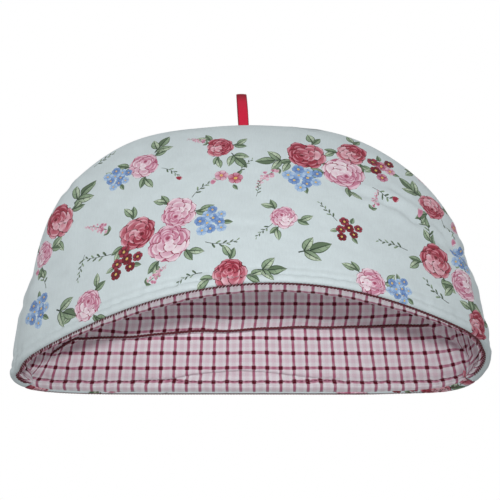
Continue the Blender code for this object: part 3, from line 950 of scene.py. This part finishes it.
# Soft creases of the back lining. Columns: depth, half width, points of x and z along it.
LINING_CREASES = (
    (-0.0036, 0.0019, LOW_RIDGE),
    (0.0010, 0.0026, ((-0.152, 0.0240), (-0.128, 0.0130))),
    (0.0010, 0.0028, ((0.136, 0.0270), (0.152, 0.0110))),
    (0.0006, 0.0028, ((0.090, 0.0120), (0.101, 0.0260))),
    (0.0007, 0.0030, ((-0.098, 0.0330), (-0.082, 0.0120))),
    (0.0009, 0.0035, ((0.030, 0.0620), (0.052, 0.0780), (0.060, 0.0950))),
    (0.0008, 0.0035, ((-0.072, 0.0600), (-0.060, 0.0820))),
    (0.0040, 0.0017, ((0.1520, 0.0420), (0.1590, 0.0345), (0.1640, 0.0270), (0.1690, 0.0130))),
)


def soft_lines(points, lines):
    """Creases that each follow a line of points and die out toward its ends."""
    place = points[..., (0, 2)]
    total = np.zeros(points.shape[:-1])
    for depth, width, line in lines:
        line = np.array(line)
        length = run_length(line)
        nearest = np.full(total.shape, 1.0)
        spot = np.zeros_like(total)
        for i, step in enumerate(np.diff(length)):
            run = (line[i + 1] - line[i]) / step
            along = np.clip((place - line[i]) @ run, 0, step)
            away = np.linalg.norm(place - line[i] - along[..., None] * run, axis=-1)
            closer = away < nearest
            nearest = np.where(closer, away, nearest)
            spot = np.where(closer, (length[i] + along) / length[-1], spot)
        total += depth * trough(nearest, width) * np.sin(math.pi * spot) ** 0.5
    return total


def fold_reach(x, z, place):
    """How far the back lining's fold stands off the wall. It dies out toward both seams."""
    above = z - np.interp(x, FOLD_LINE[:, 0], FOLD_LINE[:, 1]) + FOLD_LIP_DROP
    rise = np.clip(above / FOLD_RISE, 0, 1)
    fall = np.clip((above - FOLD_RISE) / FOLD_FALL, 0, 1)
    side = (1 - np.abs(place) ** FOLD_FULLNESS) ** 2
    swell = np.sin(math.pi / 2 * rise) ** FOLD_SHARPNESS
    reach = (FOLD_REACH + FOLD_LIP_DROP) * swell * (0.5 + 0.5 * np.cos(math.pi * fall)) * side
    return reach, above, side


def lining_rows(cloth, place):
    """Heights on a lining's cloth, close together at the wall and at the fold's lip."""
    x = shell(cloth.share_of(place, 1.0), 1.0, PADDING)[:, 0]
    lip = np.interp(x, FOLD_LINE[:, 0], FOLD_LINE[:, 1])
    lip_w, rise_w = (cloth.up_to(np.sqrt(1 - z / HEIGHT)) for z in (lip, lip + RISE_SHARE * FOLD_RISE))
    first, second, third = LINING_ROWS
    wall = np.linspace(0, 1, first, endpoint=False)[:, None]
    rise = np.linspace(0, 1, second, endpoint=False)[:, None]
    rest = np.linspace(0, 1, third)[:, None]
    low = lip_w * (1 - (1 - wall) ** WALL_CROWDING)
    middle = lip_w + (rise_w - lip_w) * rise**RISE_CROWDING
    return np.vstack([low, middle, rise_w + (cloth.top - rise_w) * rest])


def lining(name, cloth, sign, folded):
    """A lining panel: its turned hem, and in the back one the fold inside the mouth."""
    place = np.linspace(-1, 1, LINING_COLUMNS)
    foot = LINING_LIFT + LINING_ROLL_RISE
    w = lining_rows(cloth, place)
    turn = np.linspace(math.pi, 0, ROLL_ROWS, endpoint=False)[:, None] * np.ones_like(w[:1])
    rolled = np.vstack([turn, np.zeros_like(w)])
    w = np.vstack([np.zeros_like(turn), w])
    row = cloth.row_at(np.minimum(w + foot, cloth.top))
    share = cloth.share_of(place[None, :], row)
    plain = shell(share, row, PADDING)
    z = HEIGHT * (1 - row**2)
    middle = np.clip((ROLL_FADE[1] - np.abs(place)) / (ROLL_FADE[1] - ROLL_FADE[0]), 0, 1)
    roll = LINING_HEM_ROLL + (0.0 if folded else FRONT_ROLL_MORE) * middle
    far = PADDING + NESTING_GAP + LINING + roll * trough(z, LINING_ROLL_HEIGHT)
    out = (BACK_ROLL_OUT if folded else LINING_ROLL_OUT) + corner_turn(place[None, :], sign)
    even = far - (far - out) * (0.5 - 0.5 * np.cos(rolled))
    lively = sum(k * np.sin(a * plain[..., 0] + b * z + s) for a, b, s, k in LINING_WAVES)
    inset = even + LINING_WAVE * lively * (1 - trough(z, CALM_HEM))
    u = cloth.across(np.broadcast_to(place, w.shape), w)
    inset += puckers(u) * trough(z - LINING_PUCKER_HEIGHT, LINING_PUCKER_WIDTH)
    inset += STITCH_DENT * trough(z - HEM_STITCH_HEIGHT, STITCH_DENT_WIDTH)
    reach = np.zeros_like(w)
    if folded:
        inset -= soft_lines(plain, LINING_CREASES)
        inset += LINING_SEAM_DEPTH * trough(z - LINING_STITCH_HEIGHT, LINING_SEAM_WIDTH)
        reach, above, side = fold_reach(plain[..., 0], z, place[None, :])
    points = shell(share, row, inset)
    points[..., 1] += sign * SEAM_HALF_GAP - reach
    if folded:
        over = np.clip(above, 0, None)
        sag = (1 - np.exp(-over / FOLD_SAG_START)) * trough(over, FOLD_SAG_LENGTH) * side
        sag *= 1 + sum(k * np.sin(a * plain[..., 0] + s) for a, s, k in SAG_WAVES)
        points[..., 2] -= FOLD_SAG * sag
    edge = np.where(rolled > math.pi / 2, LINING_ROLL_EDGE, LINING_ROLL_RISE)
    under = LINING_LIFT + edge * (1 - np.sin(rolled))
    points[..., 2] = np.where(rolled > 0, under, np.maximum(points[..., 2], foot))
    grid = points + SHIFT
    smooth = shell(share, row, even)
    smooth[..., 1] -= reach
    v = run_length(smooth)
    v = v - v[ROLL_ROWS][None, :]
    u = run_length(smooth, axis=1)
    u = u - u[:, LINING_COLUMNS // 2 - 1 : LINING_COLUMNS // 2 + 1].mean(1, keepdims=True)
    if folded:
        wall = zip(above[ROLL_ROWS:].T, v[ROLL_ROWS:].T)
        fold_start = np.array([np.interp(0.0, over_lip, up) for over_lip, up in wall])
        v = v + FOLD_GAIN * np.clip(v - fold_start, 0, None) - CHECK_START_V
        u = u / (1 + HEM_FAN * np.clip(1 - z / FAN_HEIGHT, 0, 1)) - CHECK_START_U
        u = u + FOLD_SHIFT * np.clip(above / FOLD_SHIFT_HEIGHT, 0, 1)
    else:
        u = u - FRONT_CHECK_START_U
        v = v - FRONT_CHECK_START_V
    index = np.arange(w.size).reshape(w.shape)
    faces = np.stack([index[1:, :-1], index[1:, 1:], index[:-1, 1:], index[:-1, :-1]], -1)
    piece = new_piece(name, grid.reshape(-1, 3), faces.reshape(-1, 4))
    set_cloth_uv(piece.data, np.stack([u, v], -1).reshape(-1, 2))
    return piece, grid


LOOP_STEPS = 90
RIBBON_COLUMNS = 12
RIBBON_BOW = 0.0003
# The thicker woven edges, as shares of the ribbon's width from its middle.
SELVAGE = 0.00012
SELVAGE_PLACE = 0.47
SELVAGE_WIDTH = 0.03
EDGE_TAPER = 0.04
LEAST_THICKNESS = 0.35


def ribbon_loop():
    """The ribbon's path beside the top seam, swept with a slightly bowed section with thick edges."""
    t = np.linspace(-1.0, 1.0, LOOP_STEPS + 1)
    z = -LOOP_TUCK + (LOOP_HEIGHT + LOOP_TUCK) * (1 - np.abs(t) ** LOOP_BEND)
    free = np.clip(z / LOOP_HEIGHT, 0, 1)
    belly = LOOP_BELLY * np.sin(math.pi * free**LOOP_BELLY_PLACE) ** LOOP_BELLY_SHARPNESS
    close = np.clip(np.abs(t) / LOOP_CLOSED_SHARE, 0, 1)
    y = np.sign(t) * (LOOP_HALF_GAP * np.sin(math.pi / 2 * close) + belly)
    path = np.stack([y, z], -1)
    side = sideways(path)
    across = np.linspace(-0.5, 0.5, RIBBON_COLUMNS)
    bow = RIBBON_BOW * (1 - 4 * across**2)
    edge = SELVAGE * trough(np.abs(across) - SELVAGE_PLACE, SELVAGE_WIDTH)
    thick = RIBBON / 2 * np.clip((0.5 - np.abs(across)) / EDGE_TAPER, LEAST_THICKNESS, 1) + edge
    x = LOOP_X + LOOP_LEAN_X * free[:, None] + across * LOOP_WIDTH
    y = TOP_Y + LOOP_LEAN_Y * free[:, None] ** 2
    flat = np.stack(np.broadcast_arrays(across * LOOP_WIDTH, run_length(path)[:, None]), -1)
    rings = []
    for sign in (1, -1):
        place = path[:, None, :] + (sign * thick + bow)[None, :, None] * side[:, None, :]
        rings.append(np.stack([x, y + place[..., 0], HEIGHT + place[..., 1]], -1)[:, ::sign])
    grid = np.concatenate(rings, axis=1) + SHIFT
    flat = np.concatenate([flat, flat[:, ::-1]], axis=1)
    index = np.arange(grid[..., 0].size).reshape(grid.shape[:2])
    after = np.roll(index, -1, axis=1)
    faces = np.stack([index[:-1], after[:-1], after[1:], index[1:]], -1).reshape(-1, 4)
    ends = [index[0][::-1].tolist(), index[-1].tolist()]
    piece = new_piece("ribbon_loop", grid.reshape(-1, 3), faces.tolist() + ends)
    set_cloth_uv(piece.data, flat.reshape(-1, 2))
    return piece


STITCH_SIDES = 6
# Places along a stitch, and how full it is there.
STITCH_RINGS = (0.0, 0.12, 0.35, 0.65, 0.88, 1.0)
STITCH_FULLNESS = tuple(math.sin(math.pi * (0.08 + 0.84 * share)) ** 0.5 for share in STITCH_RINGS)
# Columns: pitch, length, radius, lean across the seam in radians.
TOPSTITCH = (0.0034, 0.0025, 0.00022, 0.0)
LINING_STITCH = (0.0036, 0.0026, 0.00036, 0.0)
OVERCAST = (0.0025, 0.0044, 0.00074, 0.72)
BACK_OVERCAST = (0.0022, 0.0030, 0.00060, 0.60)
FOLD_STITCH = (0.0026, 0.0038, 0.00110, 0.35)
# Insets and heights of the overcasting, in front and behind.
OVERCAST_INSET = 0.0036
BACK_OVERCAST_INSET = 0.0005
OVERCAST_HEIGHT = 0.0006
BACK_OVERCAST_HEIGHT = 0.0004
# The seams end a little short of the corners. The fold's ends are counted in columns of its cloth.
SEAM_PLACES = np.linspace(-0.985, 0.985, 900)
FOLD_SEAM_ENDS = (20, 12)
LINING_SEAM_END = 4
FOLD_LIP_ROWS = (-2, 14)
FOLD_SEAM_EVEN = 5
FOLD_SEAM_OUT = 0.0004
LOOK_AHEAD = 0.0005


def columns_at(at, length, path):
    return np.stack([np.interp(at, length, path[:, i]) for i in range(3)], -1)


def stitches(name, path, kind):
    """Thread stitches along a path of points, thin at both ends."""
    pitch, long, radius, lean = kind
    length = run_length(path)
    count = int(length[-1] / pitch)
    at = (np.arange(count) + 0.5) * pitch
    middle = columns_at(at, length, path)
    run = columns_at(at + LOOK_AHEAD, length, path) - middle
    run /= np.linalg.norm(run, axis=1)[:, None]
    up = np.array((0.0, 0.0, 1.0))
    out = np.cross(run, up)
    out /= np.linalg.norm(out, axis=1)[:, None]
    run, out = run * math.cos(lean) + out * math.sin(lean), out * math.cos(lean) - run * math.sin(lean)
    angles = np.linspace(0, 2 * math.pi, STITCH_SIDES, endpoint=False)
    rings = []
    for share, fullness in zip(STITCH_RINGS, STITCH_FULLNESS):
        thick = radius * fullness
        centre = middle + run * (share - 0.5) * long
        rings.append([centre + thick * (math.cos(a) * out + math.sin(a) * up) for a in angles])
    vertices = np.array(rings).transpose(2, 0, 1, 3).reshape(-1, 3)
    faces = []
    size = len(STITCH_RINGS) * STITCH_SIDES
    for first in range(0, count * size, size):
        for ring in range(first, first + size - STITCH_SIDES, STITCH_SIDES):
            for j in range(STITCH_SIDES):
                a, b = ring + j, ring + (j + 1) % STITCH_SIDES
                faces.append((a, b, b + STITCH_SIDES, a + STITCH_SIDES))
        faces.append([first + j for j in reversed(range(STITCH_SIDES))])
        faces.append([first + size - STITCH_SIDES + j for j in range(STITCH_SIDES)])
    return new_piece(name, vertices, faces)


def hem_path(cloth, strength, creases, sign):
    """The line of the topstitching on an outer panel."""
    w = np.full(len(SEAM_PLACES), float(cloth.up_to(math.sqrt(1 - HEM_STITCH_HEIGHT / HEIGHT))))
    return outer_points(cloth, SEAM_PLACES, w, strength, creases, sign)


def overcast_path(cloth, sign, inset, height):
    """The line of the sewing over the hem's edge."""
    inset = inset + corner_turn(SEAM_PLACES, sign)
    points = shell(cloth.share_of(SEAM_PLACES, 1.0), 1.0, inset)
    points[:, 1] += sign * SEAM_HALF_GAP
    points[:, 2] = height
    return points + SHIFT


def fold_path(grid):
    """The lowest line of the back lining's fold, a little off its cloth."""
    lip = ROLL_ROWS + LINING_ROWS[0]
    rows = grid[lip + FOLD_LIP_ROWS[0] : lip + FOLD_LIP_ROWS[1]]
    columns = range(FOLD_SEAM_ENDS[0], grid.shape[1] - FOLD_SEAM_ENDS[1])
    line = np.array([rows[int(np.argmin(rows[:, k, 2])), k] for k in columns])
    even = np.ones(FOLD_SEAM_EVEN) / FOLD_SEAM_EVEN
    smooth = np.stack([np.convolve(line[:, i], even, "valid") for i in range(3)], -1)
    return smooth + (0.0, -FOLD_SEAM_OUT, 0.0)


def lining_path(grid):
    """The line of the stitches that hold a lining's turned hem."""
    line = []
    for k in range(LINING_SEAM_END, grid.shape[1] - LINING_SEAM_END):
        wall = grid[ROLL_ROWS : ROLL_ROWS + LINING_ROWS[0], k]
        if wall[:, 2].max() > LINING_STITCH_HEIGHT:
            line.append([np.interp(LINING_STITCH_HEIGHT, wall[:, 2], wall[:, i]) for i in range(3)])
    return np.array(line)


# ---------------------------------------------------------------- materials


class Nodes:
    """A short way to write a material's nodes."""

    def __init__(self, name, roughness, sheen=0.0, specular=0.5):
        self.material = bpy.data.materials.new(name)
        self.material.use_nodes = True
        self.tree = self.material.node_tree
        self.shader = self.tree.nodes["Principled BSDF"]
        self.shader.inputs["Roughness"].default_value = roughness
        self.shader.inputs["Sheen Weight"].default_value = sheen
        self.shader.inputs["Sheen Roughness"].default_value = 0.5
        self.shader.inputs["Specular IOR Level"].default_value = specular

    def add(self, kind, settings=None, values=(), **inputs):
        """A new node. Its sockets are filled in their order by values, and by name by inputs."""
        node = self.tree.nodes.new("ShaderNode" + kind)
        for key, value in (settings or {}).items():
            setattr(node, key, value)
        for key, value in (*enumerate(values), *inputs.items()):
            self.put(node, key, value)
        return node

    def put(self, node, key, value):
        socket = node.inputs[key]
        if isinstance(value, bpy.types.NodeSocket):
            self.tree.links.new(value, socket)
        elif socket.type == "RGBA":
            socket.default_value = (*value, 1.0)
        else:
            socket.default_value = value

    def math(self, operation, first, second=0.0, third=0.0):
        return self.add("Math", {"operation": operation}, (first, second, third)).outputs[0]

    def times(self, first, second):
        return self.math("MULTIPLY", first, second)

    def noise(self, vector, scale, detail=2.0):
        node = self.add("TexNoise", Vector=vector, Scale=scale, Detail=detail, Roughness=0.5)
        return node.outputs["Fac"]

    def ramp(self, value, low, high, start=0.0, end=1.0):
        return self.add("MapRange", None, (value, low, high, start, end)).outputs[0]

    def mottle(self, vector, scale, detail, start, end):
        """Noise spread evenly from start to end."""
        return self.ramp(self.noise(vector, scale, detail), 0.3, 0.7, start, end)

    def mix(self, share, first, second, blend="MIX"):
        node = self.add("Mix", {"data_type": "RGBA", "blend_type": blend})
        for key, value in ((0, share), (6, first), (7, second)):
            self.put(node, key, value)
        return node.outputs[2]

    def grey(self, value):
        return self.add("CombineColor", None, (value, value, value)).outputs[0]

    def cloth(self, wide=1.0, high=1.0):
        """The cloth's own place, scaled, as a vector and as its two parts."""
        uv = self.add("UVMap", {"uv_map": "Cloth"}).outputs[0]
        scaled = self.add("Mapping", None, Vector=uv, Scale=(wide, high, 1.0)).outputs[0]
        parts = self.add("SeparateXYZ", None, (scaled,))
        return scaled, parts.outputs[0], parts.outputs[1]

    def bump(self, height, distance, strength, normal=None):
        node = self.add("Bump", None, Height=height, Distance=distance, Strength=strength)
        if normal is not None:
            self.put(node, "Normal", normal)
        return node.outputs[0]

    def finish(self, colour, normal):
        self.put(self.shader, "Base Color", colour)
        self.put(self.shader, "Normal", normal)
        return self.material


COTTON_THREAD = 0.00045
WEAVE_DRIFT = 1.2


def weave_bump(nodes, distance, strength, normal):
    """Plain weave: threads over and under each other, a little uneven."""
    vector, u, v = nodes.cloth()
    uneven = nodes.times(nodes.noise(vector, 900.0, 1.0), WEAVE_DRIFT)
    u, v = (nodes.math("MULTIPLY_ADD", place, math.pi / COTTON_THREAD, uneven) for place in (u, v))
    height = nodes.times(nodes.math("SINE", u), nodes.math("SINE", v))
    return nodes.bump(height, distance, strength, normal)


def printed_cotton():
    nodes = Nodes("printed_cotton", 0.62, sheen=0.06, specular=0.35)
    vector, _, _ = nodes.cloth()
    stretched, _, _ = nodes.cloth(1.0, 0.16)
    printed = nodes.add("VertexColor", {"layer_name": "Print"}).outputs[0]
    cloudy = nodes.mottle(vector, 60.0, 3.0, 0.965, 1.03)
    slubs = nodes.mottle(stretched, 900.0, 2.0, 0.975, 1.02)
    grain = nodes.mottle(vector, 1700.0, 2.0, 0.96, 1.04)
    tint = nodes.grey(nodes.times(nodes.times(cloudy, slubs), grain))
    normal = nodes.bump(nodes.noise(vector, 140.0, 3.0), 0.0006, 0.5)
    normal = nodes.bump(nodes.noise(stretched, 260.0, 2.0), 0.00025, 0.5, normal)
    normal = weave_bump(nodes, 0.00006, 0.6, normal)
    return nodes.finish(nodes.mix(1.0, printed, tint, "MULTIPLY"), normal)


# The check: warp and weft stripes in each cell, strong ones at its edges and a pale band between.
# Each pair is for the columns and for the rows.
CHECK_CELL = (0.01005, 0.0120)
CHECK_LINE = (0.0021, 0.0023)
CHECK_BAND = (0.0031, 0.0034)
CHECK_CROSSING = (0.0031, 0.0031)
LINE_SOFTNESS = 0.025
BAND_SOFTNESS = 0.05
CHECK_GROUND = tone(243, 240, 245)
CHECK_PALE = tone(226, 200, 212)
CHECK_WARP = tone(176, 94, 124)
CHECK_WEFT = tone(200, 134, 158)
CHECK_CROSS = tone(92, 2, 30)
CHECK_DASH = tone(170, 84, 116)


def stripe(nodes, off, width, softness):
    """Share of a stripe that lies where off, in cells, is 0, with soft woven edges."""
    return nodes.ramp(off, width / 2 + softness, width / 2 - softness)


def checked_cotton():
    nodes = Nodes("checked_cotton", 0.8, sheen=0.05, specular=0.25)
    vector, u, v = nodes.cloth()
    sway = nodes.ramp(nodes.noise(vector, 26.0, 1.0), 0.0, 1.0, -0.06, 0.06)
    lines, bands, crossings = [], [], []
    for place, cell, line, band, crossing in zip((u, v), CHECK_CELL, CHECK_LINE, CHECK_BAND, CHECK_CROSSING):
        spot = nodes.math("FRACT", nodes.math("MULTIPLY_ADD", place, 1 / cell, sway))
        off_middle = nodes.math("ABSOLUTE", nodes.math("SUBTRACT", spot, 0.5))
        off_edge = nodes.math("SUBTRACT", 0.5, off_middle)
        lines.append(stripe(nodes, off_edge, line / cell, LINE_SOFTNESS))
        bands.append(stripe(nodes, off_middle, band / cell, BAND_SOFTNESS))
        crossings.append(stripe(nodes, off_edge, crossing / cell, LINE_SOFTNESS))
    warps = nodes.mottle(nodes.cloth(1.0, 0.12)[0], 1600.0, 1.0, 0.75, 1.0)
    wefts = nodes.mottle(nodes.cloth(0.12, 1.0)[0], 1600.0, 1.0, 0.70, 1.0)
    colour = nodes.mix(nodes.times(nodes.math("ADD", *bands), 0.40), CHECK_GROUND, CHECK_PALE)
    colour = nodes.mix(nodes.times(lines[1], wefts), colour, CHECK_WEFT)
    colour = nodes.mix(nodes.times(lines[0], warps), colour, CHECK_WARP)
    dashes = nodes.math("MAXIMUM", nodes.times(lines[0], bands[1]), nodes.times(lines[1], bands[0]))
    colour = nodes.mix(nodes.times(dashes, 0.55), colour, CHECK_DASH)
    colour = nodes.mix(nodes.times(*crossings), colour, CHECK_CROSS)
    grain = nodes.mottle(vector, 1500.0, 2.0, 0.93, 1.05)
    tint = nodes.grey(nodes.times(grain, nodes.mottle(vector, 90.0, 2.0, 0.97, 1.02)))
    normal = nodes.bump(nodes.noise(vector, 170.0, 3.0), 0.0006, 0.6)
    normal = weave_bump(nodes, 0.00007, 0.7, normal)
    return nodes.finish(nodes.mix(1.0, colour, tint, "MULTIPLY"), normal)


RIBBON_RED = tone(228, 34, 70)
RIBBON_DARK = tone(92, 2, 14)
# The middle of the ribbon's length, where it is folded over and gets the most painted shade, and how far this
# painted shade goes.
RIBBON_FOLD = 0.047
FOLD_SHADE = (0.004, 0.018)
RIBBON_EDGE = (0.0032, 0.0040)
RIB_PITCH = 0.0007


def satin_ribbon():
    nodes = Nodes("satin_ribbon", 0.45, sheen=0.0, specular=0.25)
    _, u, v = nodes.cloth()
    threads = nodes.noise(nodes.cloth(6.0, 0.5)[0], 1200.0, 2.0)
    edge = nodes.ramp(nodes.math("ABSOLUTE", u), *RIBBON_EDGE)
    near_fold = nodes.math("ABSOLUTE", nodes.math("SUBTRACT", v, RIBBON_FOLD))
    # Painted shade: the ribbon's red is darkened toward the middle of its length, where it bends over at the
    # top.
    painted_fold_shade = nodes.ramp(near_fold, *FOLD_SHADE, 0.62, 0.0)
    share = nodes.times(nodes.ramp(threads, 0.3, 0.7), 0.25)
    share = nodes.math("MAXIMUM", share, nodes.times(edge, 0.75))
    share = nodes.math("MAXIMUM", share, painted_fold_shade)
    ribs = nodes.math("SINE", nodes.times(v, 2 * math.pi / RIB_PITCH))
    normal = nodes.bump(threads, 0.00006, 0.5, nodes.bump(ribs, 0.00003, 0.6))
    return nodes.finish(nodes.mix(share, RIBBON_RED, RIBBON_DARK), normal)


def thread(name, colour):
    nodes = Nodes(name, 0.55, sheen=0.2)
    spot = nodes.add("TexCoord").outputs["Object"]
    wave = nodes.add("TexWave", {"bands_direction": "DIAGONAL"}, Vector=spot, Scale=900.0, Distortion=1.0)
    twist = wave.outputs["Fac"]
    tint = nodes.grey(nodes.ramp(twist, 0.0, 1.0, 0.75, 1.0))
    return nodes.finish(nodes.mix(1.0, tint, colour, "MULTIPLY"), nodes.bump(twist, 0.0001, 0.5))


def pale_floor():
    """A plain pale floor, seen from above alone, so that a view from below looks into the mouth."""
    nodes = Nodes("pale_floor", 0.9)
    spot = nodes.add("TexCoord").outputs["Object"]
    nodes.put(nodes.shader, "Base Color", nodes.grey(nodes.mottle(spot, 3.0, 2.0, 0.86, 0.88)))
    clear = nodes.add("BsdfTransparent").outputs[0]
    back = nodes.add("NewGeometry").outputs["Backfacing"]
    both = nodes.add("MixShader", None, (back, nodes.shader.outputs[0], clear)).outputs[0]
    nodes.put(nodes.tree.nodes["Material Output"], "Surface", both)
    return nodes.material


# ---------------------------------------------------------------- building the cosy

for old in list(bpy.data.objects):
    if old.type in {"CAMERA", "LIGHT"}:
        bpy.data.objects.remove(old, do_unlink=True)

COTTON = printed_cotton()
CHECK = checked_cotton()
FRONT_LOOK = (FRONT_WAVES, CREASES + FINE_CREASES, -1)
BACK_LOOK = (BACK_WAVES, (), 1)
# How far the back's cut of the print is moved over the cloth.
BACK_PRINT = (0.19, 0.07)
front = printed_panel("front_cloth", FRONT, draw_print(0.0, 0.0), *FRONT_LOOK)
back = printed_panel("back_cloth", BACK, draw_print(*BACK_PRINT), *BACK_LOOK)
front_inside, front_grid = lining("front_check", FRONT, -1, False)
back_inside, back_grid = lining("back_check", BACK, 1, True)
loop = ribbon_loop()
for piece, node, look in (
    (front, "front_panel", COTTON),
    (back, "back_panel", COTTON),
    (front_inside, "front_lining", CHECK),
    (back_inside, "back_lining", CHECK),
    (loop, "hanging_loop", satin_ribbon()),
):
    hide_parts(node)
    piece.data.materials.append(look)

PALE = thread("pale_thread", tone(196, 202, 204))
ROSE = thread("rose_thread", tone(112, 30, 56))
CRIMSON = thread("crimson_thread", tone(104, 10, 34))
front_edge = overcast_path(FRONT, -1, OVERCAST_INSET, OVERCAST_HEIGHT)
back_edge = overcast_path(BACK, 1, BACK_OVERCAST_INSET, BACK_OVERCAST_HEIGHT)
for name, path, kind, look in (
    ("front_topstitch", hem_path(FRONT, *FRONT_LOOK), TOPSTITCH, PALE),
    ("back_topstitch", hem_path(BACK, *BACK_LOOK), TOPSTITCH, PALE),
    ("front_overcast", front_edge, OVERCAST, CRIMSON),
    ("back_overcast", back_edge, BACK_OVERCAST, CRIMSON),
    ("fold_overcast", fold_path(back_grid), FOLD_STITCH, CRIMSON),
    ("front_lining_stitch", lining_path(front_grid), LINING_STITCH, ROSE),
    ("back_lining_stitch", lining_path(back_grid), LINING_STITCH, ROSE),
):
    stitches(name, path, kind).data.materials.append(look)

# ---------------------------------------------------------------- floor, light and camera

FLOOR_HALF = 3.0
FLOOR_DROP = 0.0004
mesh = bpy.data.meshes.new("floor")
corners = [(a * FLOOR_HALF, b * FLOOR_HALF, 0) for a, b in ((-1, -1), (1, -1), (1, 1), (-1, 1))]
mesh.from_pydata(corners, [], [(0, 1, 2, 3)])
floor = bpy.data.objects.new("floor", mesh)
bpy.context.scene.collection.objects.link(floor)
floor.location = (0, 0, -FLOOR_DROP)
mesh.materials.append(pale_floor())
for setting in ("visible_diffuse", "visible_glossy", "visible_transmission", "visible_shadow"):
    setattr(floor, setting, False)

CAMERA_ELEVATION = math.radians(-36.0)
CAMERA_DISTANCE = 1.15
SENSOR_WIDTH = 36.0
FOCAL_PIXELS = 1530.0
IMAGE_SIZE = 500.0
# Where the middle of the mouth lies in the picture, in pixels.
MOUTH_PIXEL = (248.8, 358.0)

camera_data = bpy.data.cameras.new("camera")
camera = bpy.data.objects.new("camera", camera_data)
bpy.context.scene.collection.objects.link(camera)
camera_data.sensor_width = SENSOR_WIDTH
camera_data.lens = FOCAL_PIXELS / IMAGE_SIZE * SENSOR_WIDTH
camera_data.clip_start, camera_data.clip_end = 0.01, 50.0
out = Vector((0.0, -math.cos(CAMERA_ELEVATION), math.sin(CAMERA_ELEVATION)))
camera.location = Vector(SHIFT.tolist()) + out * CAMERA_DISTANCE
lift = math.atan((MOUTH_PIXEL[1] - IMAGE_SIZE / 2) / FOCAL_PIXELS)
swing = math.atan((IMAGE_SIZE / 2 - MOUTH_PIXEL[0]) / FOCAL_PIXELS)
camera.rotation_euler = (math.pi / 2 - CAMERA_ELEVATION + lift, 0.0, -swing)
bpy.context.scene.camera = camera
bpy.context.scene.view_settings.view_transform = "Standard"

AMBIENT = 0.27
WHITE = (1.0, 1.0, 1.0, 1.0)

# A white backdrop for the camera, and a weaker light from all sides for everything else.
world = bpy.data.worlds.new("studio")
bpy.context.scene.world = world
world.use_nodes = True
sky = world.node_tree
ambient = sky.nodes["Background"]
ambient.inputs["Color"].default_value = WHITE
ambient.inputs["Strength"].default_value = AMBIENT
backdrop = sky.nodes.new("ShaderNodeBackground")
backdrop.inputs["Color"].default_value = WHITE
seen = sky.nodes.new("ShaderNodeLightPath")
either = sky.nodes.new("ShaderNodeMixShader")
for source, target in (
    (seen.outputs["Is Camera Ray"], either.inputs[0]),
    (ambient.outputs[0], either.inputs[1]),
    (backdrop.outputs[0], either.inputs[2]),
    (either.outputs[0], sky.nodes["World Output"].inputs["Surface"]),
):
    sky.links.new(source, target)

# Soft lights that look at the cosy. A light with a cone is a spot, the others are square.
# Columns: name, azimuth from the front, elevation, distance, size, power, cone.
LIGHTS = (
    ("key", 3, -28, 1.6, 0.17, 52, 19.5),
    ("low", -12, -58, 1.6, 0.9, 2.2, 0),
    ("rear", 165, 35, 1.8, 1.0, 9, 0),
    ("left_side", -65, 20, 1.8, 1.0, 7.0, 0),
    ("right_side", 65, 30, 1.8, 1.0, 5.4, 0),
    ("over", 0, 50, 1.8, 1.0, 1.2, 0),
)
LIT_SPOT = Vector((0, 0, 0.08))

for name, azimuth, elevation, distance, size, power, cone in LIGHTS:
    data = bpy.data.lights.new(name, "SPOT" if cone else "AREA")
    if cone:
        data.spot_size = math.radians(cone)
        data.spot_blend = 1.0
        data.shadow_soft_size = size / 2
    else:
        data.shape = "SQUARE"
        data.size = size
    data.energy = power
    light = bpy.data.objects.new(name, data)
    bpy.context.scene.collection.objects.link(light)
    a, e = math.radians(azimuth), math.radians(elevation)
    aim = Vector((math.sin(a) * math.cos(e), -math.cos(a) * math.cos(e), math.sin(e)))
    light.location = LIT_SPOT + aim * distance
    light.rotation_euler = aim.to_track_quat("Z", "Y").to_euler()
